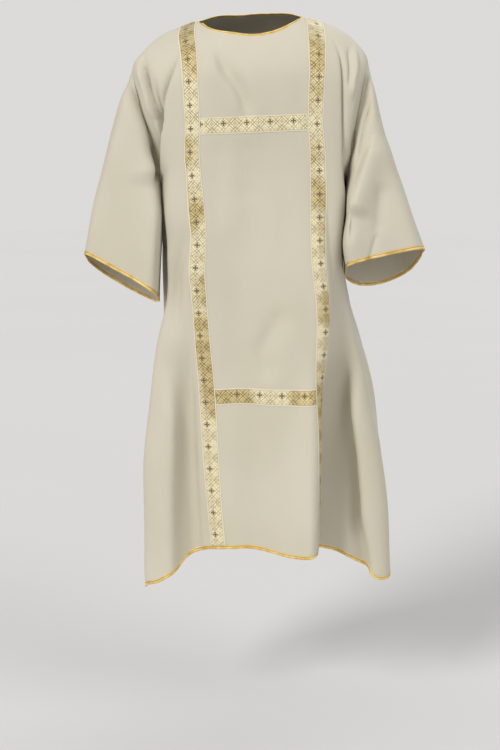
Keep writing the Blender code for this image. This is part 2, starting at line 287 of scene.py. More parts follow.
FOLDS = (
    Fold(Side.FRONT, -0.165, -0.310, 0.26, 0.85, 0.025, 0.055, 0.036, 0.005, 0.018),
    Fold(Side.FRONT, -0.150, -0.180, 0.40, 1.05, 0.035, 0.060, 0.000, -0.045, 0.001),
    Fold(Side.FRONT, -0.060, -0.040, 0.50, 1.05, 0.060, 0.070, 0.000, -0.010, -0.010),
    Fold(Side.FRONT, 0.060, 0.060, 0.35, 1.05, 0.060, 0.060, 0.000, 0.025, 0.010),
    Fold(Side.FRONT, 0.140, 0.096, 0.35, 1.05, 0.045, 0.040, 0.018, 0.026),
    Fold(Side.FRONT, 0.200, 0.200, 0.35, 1.05, 0.040, 0.050, -0.060, -0.080),
    Fold(Side.FRONT, 0.215, 0.290, 0.40, 1.05, 0.040, 0.040, -0.020, -0.030),
    Fold(Side.FRONT, 0.185, 0.350, 0.30, 1.00, 0.030, 0.045, 0.010, 0.010, 0.022),
    Fold(Side.BACK, -0.190, -0.270, 0.45, 1.05, 0.040, 0.055, 0.020, 0.040),
    Fold(Side.BACK, -0.110, -0.140, 0.25, 1.00, 0.040, 0.050, 0.000, -0.035),
    Fold(Side.BACK, 0.000, -0.015, 0.20, 1.00, 0.045, 0.060, 0.000, 0.035),
    Fold(Side.BACK, 0.100, 0.130, 0.25, 1.00, 0.040, 0.050, 0.000, -0.040),
    Fold(Side.BACK, 0.190, 0.265, 0.45, 1.05, 0.040, 0.055, 0.010, 0.045),
)

CUT = Cut()

SLEEVE_SECTIONS = {
    Hand.RIGHT: (
        SleeveSection(0.00, 0.243, CUT.tip_down, 0.194, CUT.pit_down, 0.078, 0.078, 0.000, 0.000, 0.000),
        SleeveSection(0.30, 0.286, 0.205, 0.195, 0.395, 0.094, 0.088, 0.000, 0.000, 0.036),
        SleeveSection(0.65, 0.330, 0.350, 0.203, 0.480, 0.098, 0.096, 0.010, 0.010, 0.046),
        SleeveSection(1.00, 0.361, 0.478, 0.211, 0.562, 0.094, 0.104, 0.026, 0.030, 0.046),
    ),
    Hand.LEFT: (
        SleeveSection(0.00, 0.239, CUT.tip_down, 0.184, CUT.pit_down, 0.078, 0.078, 0.000, 0.000, 0.000),
        SleeveSection(0.30, 0.259, 0.210, 0.179, 0.395, 0.094, 0.088, 0.000, 0.000, 0.046),
        SleeveSection(0.65, 0.303, 0.365, 0.173, 0.460, 0.098, 0.096, 0.008, 0.020, 0.054),
        SleeveSection(1.00, 0.342, 0.494, 0.177, 0.514, 0.094, 0.104, 0.022, 0.060, 0.054),
    ),
}

CREASES = (
    # The chest, from the neck down to the cross galloon
    Crease(((-0.068, -0.045), (-0.051, -0.106), (-0.033, -0.130), (-0.019, -0.162), (-0.011, -0.225)),
           -0.0095, 0.011, 0.018, fade_in=0.3, fade_out=0.35),
    Crease(((-0.086, -0.045), (-0.069, -0.106), (-0.051, -0.130), (-0.037, -0.162), (-0.029, -0.225)),
           0.004, 0.024, 0.013, fade_in=0.3, fade_out=0.35),
    # The wearer's right sleeve falls forward in a fold whose crest runs along the armhole
    Crease(((-0.246, -0.085), (-0.241, -0.117), (-0.232, -0.167), (-0.222, -0.212), (-0.214, -0.262),
            (-0.210, -0.330)), 0.014, 0.034, 0.006, fade_in=0.5, fade_out=0.15, cloth=Cloth.BOTH),
    Crease(((-0.230, -0.095), (-0.226, -0.120), (-0.217, -0.167), (-0.207, -0.212), (-0.203, -0.250),
            (-0.203, -0.300)), -0.021, 0.014, 0.004, fade_in=0.3, cloth=Cloth.BOTH),
    Crease(((-0.187, -0.170), (-0.191, -0.209), (-0.195, -0.240), (-0.200, -0.282), (-0.203, -0.325)),
           -0.018, 0.006, 0.0035, fade_in=0.15, fade_out=0.2, cloth=Cloth.BOTH),
    # The gathering from the right shoulder down into the underarm
    Crease(((-0.147, -0.035), (-0.162, -0.092), (-0.175, -0.137), (-0.184, -0.175), (-0.190, -0.205)),
           -0.013, 0.009, 0.003, fade_in=0.5, fade_out=0.1),
    Crease(((-0.219, -0.055), (-0.217, -0.086), (-0.210, -0.146), (-0.198, -0.190), (-0.191, -0.225)),
           -0.018, 0.003, 0.008, fade_in=0.35, fade_out=0.1),
    Crease(((-0.227, -0.060), (-0.225, -0.086), (-0.217, -0.146), (-0.203, -0.200)),
           0.008, 0.008, 0.005, fade_in=0.35, fade_out=0.15),
    Crease(((-0.199, -0.100), (-0.196, -0.139), (-0.192, -0.168), (-0.188, -0.205)),
           -0.016, 0.009, 0.006, fade_in=0.5, fade_out=0.1),
    # The body stands out beside each sleeve
    Crease(((-0.182, -0.280), (-0.182, -0.360), (-0.182, -0.460), (-0.188, -0.540), (-0.196, -0.610)),
           0.001, 0.050, 0.030, aside=-0.011, fade_in=0.35, fade_out=0.45),
    Crease(((-0.150, -0.390), (-0.159, -0.455), (-0.168, -0.520), (-0.176, -0.590), (-0.184, -0.660)),
           -0.020, 0.022, 0.012, fade_in=0.5, fade_out=0.5),
    Crease(((0.150, -0.240), (0.152, -0.320), (0.153, -0.400), (0.155, -0.500)),
           0.001, 0.030, 0.030, aside=0.001, fade_in=0.3, fade_out=0.4),
    # The wearer's left side: a long crease from the shoulder, and the sleeve's slanting fold
    Crease(((0.160, -0.035), (0.178, -0.078), (0.182, -0.116), (0.181, -0.162), (0.181, -0.215),
            (0.181, -0.269), (0.181, -0.325), (0.180, -0.372)), -0.010, 0.003, 0.005, fade_out=0.3),
    Crease(((0.250, -0.235), (0.238, -0.262), (0.226, -0.290), (0.213, -0.325), (0.200, -0.362),
            (0.184, -0.402)), 0.012, 0.006, 0.036, fade_in=0.3, fade_out=0.15, cloth=Cloth.BOTH),
    Crease(((0.236, -0.235), (0.225, -0.262), (0.212, -0.290), (0.199, -0.325), (0.188, -0.358)),
           -0.0055, 0.014, 0.008, fade_in=0.4, fade_out=0.35, cloth=Cloth.BOTH),
    Crease(((0.238, -0.100), (0.226, -0.135), (0.215, -0.173), (0.203, -0.226), (0.195, -0.297)),
           -0.007, 0.0035, 0.006, cloth=Cloth.BOTH),
    Crease(((0.242, -0.164), (0.220, -0.226), (0.199, -0.306)), -0.006, 0.003, 0.007, cloth=Cloth.BOTH),
    Crease(((0.207, -0.060), (0.211, -0.106), (0.204, -0.136), (0.198, -0.175)),
           0.005, 0.007, 0.004, cloth=Cloth.BOTH),
    Crease(((0.196, -0.060), (0.198, -0.110), (0.195, -0.150)), -0.006, 0.004, 0.006, cloth=Cloth.BOTH),
    Crease(((0.186, -0.360), (0.187, -0.410), (0.187, -0.465)),
           -0.011, 0.009, 0.009, fade_in=0.5, fade_out=0.5, cloth=Cloth.SLEEVE),
    Crease(((0.252, -0.330), (0.246, -0.404), (0.240, -0.454)),
           -0.0045, 0.012, 0.018, cloth=Cloth.SLEEVE),
    Crease(((0.242, -0.435), (0.230, -0.473), (0.221, -0.502)), -0.004, 0.005, 0.008, cloth=Cloth.SLEEVE),
    # Beside the wearer's left galloon
    Crease(((0.147, -0.320), (0.151, -0.420), (0.154, -0.500), (0.155, -0.580), (0.156, -0.680)),
           -0.005, 0.008, 0.012),
    # Across the waist
    Crease(((0.052, -0.565), (0.028, -0.615), (0.000, -0.665), (0.006, -0.711), (0.012, -0.744)),
           -0.006, 0.018, 0.024),
    Crease(((-0.076, -0.225), (-0.080, -0.330), (-0.086, -0.430)), -0.003, 0.030, 0.022),
    Crease(((-0.020, -0.225), (-0.022, -0.300), (-0.028, -0.380)), -0.0025, 0.022, 0.030),
    # The skirt of the front: a flute at the wearer's right, a valley, and the galloon's own plane
    Crease(((-0.200, -0.680), (-0.205, -0.825), (-0.212, -0.930), (-0.218, -1.037), (-0.222, -1.134)),
           0.019, 0.036, 0.021, aside=0.008, fade_in=0.3, fade_out=0.0),
    Crease(((-0.150, -0.640), (-0.156, -0.764), (-0.160, -0.869), (-0.162, -0.996), (-0.163, -1.100)),
           -0.0105, 0.030, 0.016, fade_in=0.3, fade_out=0.0),
    Crease(((-0.132, -0.560), (-0.134, -0.760), (-0.134, -1.000), (-0.132, -1.110)),
           0.011, 0.014, 0.026, fade_in=0.35, fade_out=0.0),
    # The sharp fold that the wearer's left galloon wraps round, and the shaded one beside it
    Crease(((0.130, -0.600), (0.124, -0.728), (0.119, -0.831), (0.114, -0.935), (0.111, -1.019),
            (0.109, -1.110)), 0.006, 0.030, 0.022, aside=-0.012, fade_in=0.35, fade_out=0.0),
    Crease(((0.171, -0.690), (0.177, -0.751), (0.181, -0.793), (0.187, -0.840), (0.193, -0.909),
            (0.196, -0.986), (0.195, -1.100)), -0.016, 0.025, 0.005, fade_in=0.3, fade_out=0.16),
    Crease(((0.186, -0.700), (0.193, -0.800), (0.202, -0.880), (0.207, -0.950), (0.209, -1.030),
            (0.209, -1.150)), 0.014, 0.008, 0.024, aside=-0.008, fade_in=0.3, fade_out=0.3),
    Crease(((0.206, -0.700), (0.216, -0.820), (0.226, -0.930), (0.232, -1.040), (0.234, -1.160)),
           0.017, 0.020, 0.034, aside=-0.014, fade_in=0.35, fade_out=0.0),
    Crease(((0.220, -0.600), (0.230, -0.700), (0.238, -0.800), (0.244, -0.900)),
           0.0, 0.030, 0.030, aside=-0.009, fade_in=0.3, fade_out=0.4),
    # Where the galloons lie a little aside of their threads
    Crease(((-0.135, 0.000), (-0.135, -0.050), (-0.132, -0.100), (-0.130, -0.180)),
           0.0, 0.050, 0.040, aside=0.011, fade_in=0.0, fade_out=0.8),
    Crease(((-0.146, -0.240), (-0.146, -0.300), (-0.143, -0.370), (-0.140, -0.440), (-0.140, -0.520)),
           0.0, 0.034, 0.050, aside=0.012, fade_in=0.45, fade_out=0.35),
    Crease(((0.120, -0.070), (0.120, -0.130), (0.120, -0.220)),
           0.0, 0.050, 0.040, aside=0.004, fade_in=0.3, fade_out=0.3),
    Crease(((0.134, -0.220), (0.134, -0.300), (0.134, -0.450), (0.128, -0.600)),
           0.0, 0.050, 0.034, aside=-0.009, fade_in=0.35, fade_out=0.35),
    Crease(((0.132, 0.000), (0.132, -0.070)), 0.0, 0.040, 0.040, aside=-0.006, fade_in=0.0, fade_out=0.6),
    # How the hem hangs, and the knee galloon above it
    Crease(((0.050, -0.660), (0.050, -0.760), (0.050, -0.860)),
           0.0, 0.045, 0.045, lower=-0.006, fade_in=0.4, fade_out=0.4),
    Crease(((-0.242, -0.950), (-0.242, -1.200)),
           0.0, 0.018, 0.024, lower=0.010, fade_in=0.5, fade_out=0.0),
    Crease(((-0.204, -0.950), (-0.204, -1.200)),
           0.0, 0.020, 0.018, lower=0.008, fade_in=0.5, fade_out=0.0),
    Crease(((-0.130, -0.950), (-0.130, -1.200)),
           0.0, 0.040, 0.035, lower=-0.006, fade_in=0.5, fade_out=0.0),
    Crease(((-0.015, -0.950), (-0.015, -1.200)),
           0.0, 0.035, 0.035, lower=0.006, fade_in=0.5, fade_out=0.0),
    Crease(((0.178, -0.950), (0.178, -1.200)), 0.0, 0.030, 0.025, lower=0.010, fade_in=0.5, fade_out=0.0),
    # Behind: soft folds from the shoulder blades, gathers at the armholes, sleeves and skirt
    Crease(((-0.120, -0.080), (-0.135, -0.200), (-0.140, -0.340), (-0.135, -0.480)),
           -0.006, 0.022, 0.026, side=Side.BACK),
    Crease(((0.105, -0.090), (0.125, -0.190), (0.135, -0.330), (0.130, -0.450)),
           -0.006, 0.026, 0.020, side=Side.BACK),
    Crease(((-0.020, -0.120), (-0.030, -0.260), (-0.045, -0.420), (-0.050, -0.560)),
           0.005, 0.030, 0.030, side=Side.BACK),
    Crease(((0.050, -0.200), (0.046, -0.340), (0.060, -0.520)), -0.0045, 0.020, 0.024, side=Side.BACK),
    Crease(((-0.225, -0.070), (-0.214, -0.130), (-0.200, -0.190), (-0.190, -0.230)),
           -0.010, 0.004, 0.008, cloth=Cloth.BOTH, side=Side.BACK),
    Crease(((0.222, -0.060), (0.212, -0.130), (0.198, -0.195), (0.188, -0.240)),
           -0.010, 0.008, 0.004, cloth=Cloth.BOTH, side=Side.BACK),
    Crease(((-0.160, -0.060), (-0.175, -0.120), (-0.184, -0.180), (-0.189, -0.220)),
           -0.008, 0.009, 0.005, side=Side.BACK),
    Crease(((0.165, -0.070), (0.178, -0.140), (0.185, -0.200)), -0.007, 0.006, 0.008, side=Side.BACK),
    Crease(((-0.262, -0.220), (-0.270, -0.330), (-0.285, -0.440)),
           -0.006, 0.014, 0.018, cloth=Cloth.SLEEVE, side=Side.BACK),
    Crease(((0.250, -0.210), (0.258, -0.320), (0.265, -0.430)),
           -0.006, 0.016, 0.014, cloth=Cloth.SLEEVE, side=Side.BACK),
    Crease(((-0.235, -0.260), (-0.240, -0.380), (-0.245, -0.500)),
           0.005, 0.014, 0.014, cloth=Cloth.SLEEVE, side=Side.BACK),
    Crease(((-0.205, -0.620), (-0.218, -0.800), (-0.226, -0.950), (-0.230, -1.110)),
           0.008, 0.016, 0.018, fade_out=0.0, side=Side.BACK),
    Crease(((0.060, -0.640), (0.072, -0.820), (0.080, -1.000), (0.084, -1.120)),
           -0.008, 0.018, 0.020, fade_out=0.0, side=Side.BACK),
    Crease(((-0.085, -0.600), (-0.092, -0.800), (-0.098, -1.000), (-0.100, -1.120)),
           -0.009, 0.020, 0.016, fade_out=0.0, side=Side.BACK),
    Crease(((0.190, -0.600), (0.205, -0.800), (0.214, -1.000), (0.216, -1.120)),
           0.007, 0.016, 0.020, fade_out=0.0, side=Side.BACK),
)


def smooth_step(value: Points | float, low: float, high: float) -> Points:
    """Rise smoothly from 0 at low to 1 at high.

    Args:
        value: Where to read the step.
        low: Where it starts.
        high: Where it is full.

    Returns:
        The step at each value.
    """
    share = np.clip((np.asarray(value, float) - low) / (high - low), 0.0, 1.0)
    return share * share * (3.0 - 2.0 * share)


def curve_through(places: Points, values: Points, at: Points) -> Points:
    """Read a smooth curve that runs through the values given.

    Args:
        places: Where the values stand, in rising order.
        values: A number, or a point, to each place.
        at: Where to read the curve.

    Returns:
        The curve's number, or its point, at each.
    """
    slopes = np.gradient(values, places, axis=0)
    i = np.clip(np.searchsorted(places, at, side="right") - 1, 0, len(places) - 2)
    step = places[i + 1] - places[i]
    t = (at - places[i]) / step
    if values.ndim > 1:
        step, t = step[:, None], t[:, None]
    return (
        (2 * t**3 - 3 * t**2 + 1) * values[i]
        + (t**3 - 2 * t**2 + t) * step * slopes[i]
        + (3 * t**2 - 2 * t**3) * values[i + 1]
        + (t**3 - t**2) * step * slopes[i + 1]
    )


def unit(vectors: Points) -> Points:
    """Scale vectors to a length of one."""
    return vectors / np.maximum(np.linalg.norm(vectors, axis=-1, keepdims=True), TINY)


def way_along(points: Points) -> Points:
    """Say how far along a line each of its points lies."""
    return np.concatenate([[0.0], np.cumsum(np.linalg.norm(np.diff(points, axis=0), axis=1))])


def table_column(rows: tuple, key: str, name: str, at: Points | float) -> Points:
    """Read one column of a table as a smooth curve through its rows.

    Args:
        rows: The table.
        key: The field that orders the rows.
        name: The field to read.
        at: Where to read it, in the key's terms.

    Returns:
        The column's value at each place.
    """
    places = np.array([getattr(row, key) for row in rows], float)
    values = np.array([getattr(row, name) for row in rows], float)
    return curve_through(places, values, np.clip(np.asarray(at, float), places[0], places[-1]))


# ---------- the form


@dataclass
class BodyForm:
    """The shape of the front and the back, readable at any reach and any distance down."""

    cut: Cut
    levels: int = 480
    samples: int = 200
    deepest: float = 1.12
    corner_from: float = 0.80
    nape_ends: float = 0.15
    tables: dict[tuple[Side, Hand], Points] = field(default_factory=dict)

    def __post_init__(self) -> None:
        """Work out every level of both sides once, closer together towards the shoulder."""
        downs = self.deepest * (np.arange(self.levels + 1) / self.levels) ** 2
        for side in Side:
            for hand in Hand:
                drawn = [self._level(float(down), side, hand) for down in downs]
                self.tables[side, hand] = np.array(drawn).transpose(1, 0, 2)

    def edge(self, down: float, side: Side, hand: Hand) -> tuple[float, float]:
        """Find a panel's edge, which is the armhole above and the side seam below.

        Args:
            down: The level.
            side: The front or the back.
            hand: Which edge.

        Returns:
            The edge's x and how far out it lies on its own side.
        """
        x, behind = (
            float(table_column(PANEL_EDGES[hand], "down", name, down)) for name in ("x", "behind")
        )
        if down >= self.cut.underarm_down:
            return x, side.value * behind
        share = down / self.cut.underarm_down
        return x, self.cut.armhole_depth * 2.0 * math.sqrt(share * (1.0 - share))

    def _level(self, down: float, side: Side, hand: Hand) -> tuple[Points, Points]:
        """Draw half a level of the body, seen from above, from its middle to its edge.

        Args:
            down: The level.
            side: The front or the back.
            hand: Which half.

        Returns:
            The x and the depth of evenly spaced samples along it.
        """
        half_width, front, back, side_depth, squareness = (
            float(table_column(BODY_SECTIONS, "down", name, down))
            for name in ("half_width", "front", "back", "side_depth", "squareness")
        )
        roll = min(1.0, down / self.cut.shoulder_roll)
        middle = (front if side is Side.FRONT else back) * math.sqrt(1.0 - (1.0 - roll) ** 2)
        side_depth = min(side_depth, middle)
        angle = np.linspace(0.0, math.pi / 2, self.samples)
        x = half_width * np.sin(angle) ** (2.0 / squareness)
        depth = side_depth + (middle - side_depth) * np.cos(angle) ** (2.0 / squareness)
        length = np.concatenate([[0.0], np.cumsum(np.hypot(np.diff(x), np.diff(depth)))])
        share = np.linspace(0.0, 1.0, self.samples)
        x = np.interp(share * length[-1], length, x)
        depth = np.interp(share * length[-1], length, depth)
        edge_x, edge_depth = self.edge(down, side, hand)
        near_edge = smooth_step(share, self.cut.edge_turn, 1.0)
        return x + (edge_x - x[-1]) * near_edge, depth + (edge_depth - depth[-1]) * near_edge

    def _read(self, side: Side, hand: Hand, at: Points, down: Points) -> tuple[Points, Points]:
        """Read x and depth between the levels and the samples of one half.

        Args:
            side: The front or the back.
            hand: Which half.
            at: Shares of the way from the middle to the edge.
            down: Levels.

        Returns:
            The x and the depth at each.
        """
        row = self.levels * np.sqrt(np.clip(down, 0.0, self.deepest) / self.deepest)
        column = np.clip(at, 0.0, 1.0) * (self.samples - 1)
        i = np.clip(row.astype(int), 0, self.levels - 1)
        j = np.clip(column.astype(int), 0, self.samples - 2)
        s, t = row - i, column - j
        found = []
        for table in self.tables[side, hand]:
            upper = table[i, j] * (1 - t) + table[i, j + 1] * t
            lower = table[i + 1, j] * (1 - t) + table[i + 1, j + 1] * t
            found.append(upper * (1 - s) + lower * s)
        return found[0], found[1]

    def _folded(self, side: Side, reach: Points, down: Points) -> Points:
        """Add up how the folds move each place.

        Args:
            side: The front or the back.
            reach: Distances from the middle.
            down: Levels.

        Returns:
            How far each place moves aside, out and lower, on the first axis.
        """
        cut = self.cut
        moves = np.zeros((3, *np.shape(reach)))
        for fold in FOLDS:
            if fold.side is not side:
                continue
            share = (down - fold.start) / (cut.hem_down - fold.start)
            middle = fold.reach_start + (fold.reach_hem - fold.reach_start) * share
            width = fold.width_start + (fold.width_hem - fold.width_start) * np.maximum(0.0, share)
            bump = smooth_step(down, fold.start, fold.full) * np.exp(-(((reach - middle) / width) ** 2))
            moves += np.array([fold.aside, fold.out, fold.lower])[:, None, None] * bump
        return moves * (1.0 - smooth_step(np.abs(reach) / cut.panel_reach(down), cut.folds_end, 1.0))

    def shoulder_fall(self, reach: Points, down: Points) -> Points:
        """Say how far the thread at each reach hangs below the one at the neck.

        Args:
            reach: Distances from the middle.
            down: Levels.

        Returns:
            The falls.
        """
        cut = self.cut
        flared = smooth_step(down, cut.underarm_down, cut.hem_down)
        run = (np.abs(reach) - cut.neck_reach) / (1.0 + cut.flare_spreads * flared)
        run = np.clip(run, 0.0, cut.tip_reach - cut.neck_reach)
        return (cut.shoulder_slope * run + cut.shoulder_bend * run**3) * (1.0 - cut.flare_evens * flared)

    def points(self, side: Side, reach: Points, down: Points) -> Points:
        """Place a grid of the front or the back.

        Args:
            side: The front or the back.
            reach: A grid of distances from the middle.
            down: A grid of levels.

        Returns:
            Upright points.
        """
        cut = self.cut
        at = np.abs(reach) / cut.panel_reach(down)
        aside, out, lower = self._folded(side, reach, down)
        right_x, right_depth = self._read(side, Hand.RIGHT, at, down)
        left_x, left_depth = self._read(side, Hand.LEFT, at, down)
        on_right = reach < 0.0
        x = np.where(on_right, -(right_x + aside), left_x + aside)
        depth = np.where(on_right, right_depth, left_depth) + out
        z = -down - self.shoulder_fall(reach, down) - lower
        flared = smooth_step(down, cut.underarm_down, cut.hem_down)
        z = z + cut.corner_rise * flared**2 * smooth_step(at, self.corner_from, 1.0)
        if side is Side.BACK:
            rise = np.clip(1.0 - (reach / cut.neck_reach) ** 2, 0.0, 1.0)
            z = z + cut.nape_rise * rise * (1.0 - smooth_step(down, 0.0, self.nape_ends))
        return np.stack([x, side.value * depth, z], axis=-1)


@dataclass
class SleeveForm:
    """The shape of the sleeves, each a ring at the armhole that opens out to its cuff."""

    cut: Cut
    as_armhole_to: float = 0.45
    cuff_squareness: float = 5.5
    flat_from: float = 0.22

    def points(self, hand: Hand, along: Points, downs: Points) -> Points:
        """Place a sleeve's rings, which go down the front from the shoulder and up behind.

        Args:
            hand: Which sleeve.
            along: Shares of the way from the armhole to the cuff, one for each ring.
            downs: Levels down the front of the armhole, from 0 to the underarm.

        Returns:
            Upright points, a row to a ring.
        """
        table = SLEEVE_SECTIONS[hand]
        now = {
            name: table_column(table, "along", name, along)[:, None]
            for name in SleeveSection.__dataclass_fields__
            if name != "along"
        }
        ring = np.concatenate([downs, downs[-2:0:-1]])[None, :]
        in_front = (np.arange(ring.shape[1]) < len(downs))[None, :]
        as_armhole = 1.0 - smooth_step(along, 0.0, self.as_armhole_to)[:, None]
        share = ring / self.cut.underarm_down
        flat = smooth_step(along, 0.0, self.flat_from)[:, None] * in_front
        power = 2.0 + (self.cuff_squareness - 2.0) * flat
        bow = (1.0 - np.abs(2.0 * share - 1.0) ** power) ** (1.0 / power)
        first = table[0]
        armhole_x = table_column(PANEL_EDGES[hand], "down", "x", ring)
        bent_x = armhole_x - first.outer_x - (first.inner_x - first.outer_x) * share
        x = now["outer_x"] + (now["inner_x"] - now["outer_x"]) * share + bent_x * as_armhole
        down = now["outer_down"] + (now["inner_down"] - now["outer_down"]) * share
        down = down + np.where(in_front, -now["front_lift"], now["back_hang"]) * bow
        depth = np.where(in_front, -now["front"], now["back"]) * bow
        depth = depth - now["inner_forward"] * share**2
        return np.stack([hand.value * x, depth, -down], axis=-1)


@dataclass
class ClothGrid:
    """A piece of cloth as rows of points, before it has any thickness.

    lay holds metres across and along the cloth, and seam the distance to the nearest seam and
    metres along it. On a closed grid, whose rows are rings, both have one more column.
    """

    points: Points
    closed: bool
    lay: Points
    seam: Points
    from_armhole: Points
    cloth: Cloth
    normals: Points = field(default_factory=lambda: np.zeros(0))

    def pulled_in(self, edges: tuple[str, ...], gap: float) -> Points:
        """Move the named edges back along the cloth, to leave a seam's gap.

        Args:
            edges: Any of first_row, first_column and last_column.
            gap: How far.

        Returns:
            The points with those edges moved.
        """
        grid = self.points.copy()
        near = {
            "first_row": (grid[0], grid[1]),
            "first_column": (grid[:, 0], grid[:, 1]),
            "last_column": (grid[:, -1], grid[:, -2]),
        }
        for edge in edges:
            edge_points, next_points = near[edge]
            edge_points += unit(next_points - edge_points) * gap
        return grid


def share_normals(grids: list[ClothGrid]) -> None:
    """Give every grid its normals, the same ones where two grids meet.

    Args:
        grids: The cloth, each grid with its outside found from its turning direction.
    """
    keys, sums = [], []
    for grid in grids:
        points = grid.points
        after = np.roll(points, -1, axis=1)
        face = np.cross(after[1:] - points[:-1], points[1:] - after[:-1])
        if not grid.closed:
            face[:, -1] = 0.0
        face += np.roll(face, 1, axis=1)
        total = np.zeros_like(points)
        total[:-1] += face
        total[1:] += face
        middle = points.mean(axis=(0, 1)) if grid.closed else BODY_MIDDLE
        if np.sum(total * (points - middle) * np.array([1.0, 1.0, 0.0])) < 0.0:
            total = -total
        keys.append(np.round(points.reshape(-1, 3) / SEAM_GRID).astype(np.int64))
        sums.append(total.reshape(-1, 3))
    _, index = np.unique(np.concatenate(keys), axis=0, return_inverse=True)
    index = index.reshape(-1)
    merged = np.zeros((int(index.max()) + 1, 3))
    np.add.at(merged, index, np.concatenate(sums))
    merged = unit(merged)
    start = 0
    for grid in grids:
        count = grid.points.shape[0] * grid.points.shape[1]
        grid.normals = merged[index[start : start + count]].reshape(grid.points.shape)
        start += count


@dataclass
class Creaser:
    """Lays the creases, and the slight unevenness of hung cloth, into the grids."""

    turn_start: float = 0.004
    turn_depth: float = 0.030
    seam_reach: float = 0.022
    widths_felt: float = 3.2
    sharp_under: float = 0.010
    sharp_power: float = 1.35
    soft_power: float = 2.0
    uneven: float = 0.0011
    waves: int = 14
    steps: int = 26
    seed: int = 11

    def strength(self, crease: Crease, spots: Points) -> Points:
        """Say how much of a crease there is at each place.

        Args:
            crease: The crease.
            spots: Places as (x, z).

        Returns:
            Shares from 0 to 1.
        """
        found = np.zeros(len(spots))
        given = np.array(crease.line)
        length = way_along(given)
        line = curve_through(length, given, np.linspace(0.0, length[-1], self.steps))
        widest = self.widths_felt * max(crease.left, crease.right)
        near = np.all((spots > line.min(axis=0) - widest) & (spots < line.max(axis=0) + widest), axis=1)
        if not near.any():
            return found
        at = spots[near]
        best = np.full(len(at), np.inf)
        aside = np.zeros(len(at))
        share = np.zeros(len(at))
        for k in range(len(line) - 1):
            way = line[k + 1] - line[k]
            t = np.clip(((at - line[k]) @ way) / (way @ way), 0.0, 1.0)
            gap = at - (line[k] + t[:, None] * way)
            distance = np.linalg.norm(gap, axis=1)
            nearer = distance < best
            best = np.where(nearer, distance, best)
            to_left = way[0] * gap[:, 1] - way[1] * gap[:, 0]
            aside = np.where(nearer, np.sign(to_left) * distance, aside)
            share = np.where(nearer, (k + t) / (len(line) - 1), share)
        width = np.where(aside > 0.0, crease.left, crease.right)
        fades = np.ones(len(at))
        if crease.fade_in > 0.0:
            fades *= smooth_step(share, 0.0, crease.fade_in)
        if crease.fade_out > 0.0:
            fades *= 1.0 - smooth_step(share, 1.0 - crease.fade_out, 1.0)
        sharp = crease.out < 0.0 and min(crease.left, crease.right) < self.sharp_under
        power = self.sharp_power if sharp else self.soft_power
        found[near] = np.exp(-((np.abs(aside) / width) ** power)) * fades
        return found

    def unevenness(self, points: Points) -> Points:
        """Sum seeded waves, longer up and down than across, as hung cloth has.

        Args:
            points: Upright points.

        Returns:
            A height for each, in metres.
        """
        chance = np.random.RandomState(self.seed)
        height = np.zeros(points.shape[:-1])
        for _ in range(self.waves):
            across = 2 * math.pi / chance.uniform(0.05, 0.16)
            turn = chance.uniform(0.0, 2 * math.pi)
            rise = 2 * math.pi / chance.uniform(0.25, 0.7) * chance.choice([-1.0, 1.0])
            wave = np.array([math.cos(turn) * across, math.sin(turn) * across, rise])
            height += np.sin(points @ wave + chance.uniform(0.0, 2 * math.pi))
        return height * self.uneven / math.sqrt(self.waves / 2)

    def lay_in(self, grids: list[ClothGrid]) -> None:
        """Move the cloth of every grid by all its creases, and find its normals again.

        Args:
            grids: The whole garment's cloth.
        """
        share_normals(grids)
        for grid in grids:
            points = grid.points
            spots = points[..., [0, 2]].reshape(-1, 2)
            away = smooth_step(grid.from_armhole, 0.0, self.seam_reach)
            in_front = smooth_step(-points[..., 1], -self.turn_start, self.turn_depth)
            behind = smooth_step(points[..., 1], self.turn_start, self.turn_start + self.turn_depth)
            out = self.unevenness(points)
            aside, lower = np.zeros_like(out), np.zeros_like(out)
            for crease in CREASES:
                if crease.cloth is not Cloth.BOTH and crease.cloth is not grid.cloth:
                    continue
                share = self.strength(crease, spots).reshape(out.shape)
                share = share * (in_front if crease.side is Side.FRONT else behind)
                if crease.cloth is not Cloth.BOTH:
                    share = share * away
                out += crease.out * share
                aside += crease.aside * share
                lower += crease.lower * share
            grid.points = points + grid.normals * out[..., None]
            grid.points[..., 0] += aside
            grid.points[..., 2] -= lower
        share_normals(grids)


# ---------- meshes


@dataclass
class Surface:
    """A grid of points with the metres that its finish is laid out in."""

    points: Points
    lay: Points
    seam: Points


def quad_piece(name: str, points: Points, faces: Points, layouts: dict[str, Points]) -> bpy.types.Object:
    """Make a smooth piece out of quads, and put it in the scene.

    Args:
        name: The piece's name.
        points: Its points.
        faces: Four indices of points to a quad.
        layouts: For each of its layouts, metres across and along at every quad's corners.

    Returns:
        The piece.
    """
    mesh = bpy.data.meshes.new(name)
    mesh.vertices.add(len(points))
    mesh.vertices.foreach_set("co", points.astype(np.float32).ravel())
    mesh.loops.add(faces.size)
    mesh.loops.foreach_set("vertex_index", faces.astype(np.int32).ravel())
    mesh.polygons.add(len(faces))
    mesh.polygons.foreach_set("loop_start", np.arange(0, faces.size, 4, dtype=np.int32))
    mesh.update(calc_edges=True)
    mesh.validate()
    for layer, metres in layouts.items():
        uv = mesh.uv_layers.new(name=layer)
        uv.data.foreach_set("uv", metres.astype(np.float32).ravel())
    mesh.shade_smooth()
    piece = bpy.data.objects.new(name, mesh)
    bpy.context.scene.collection.objects.link(piece)
    return piece


def quad_normals(corners: Points) -> Points:
    """The directions that quads face, from their four corners."""
    return np.cross(corners[:, 2] - corners[:, 0], corners[:, 3] - corners[:, 1])


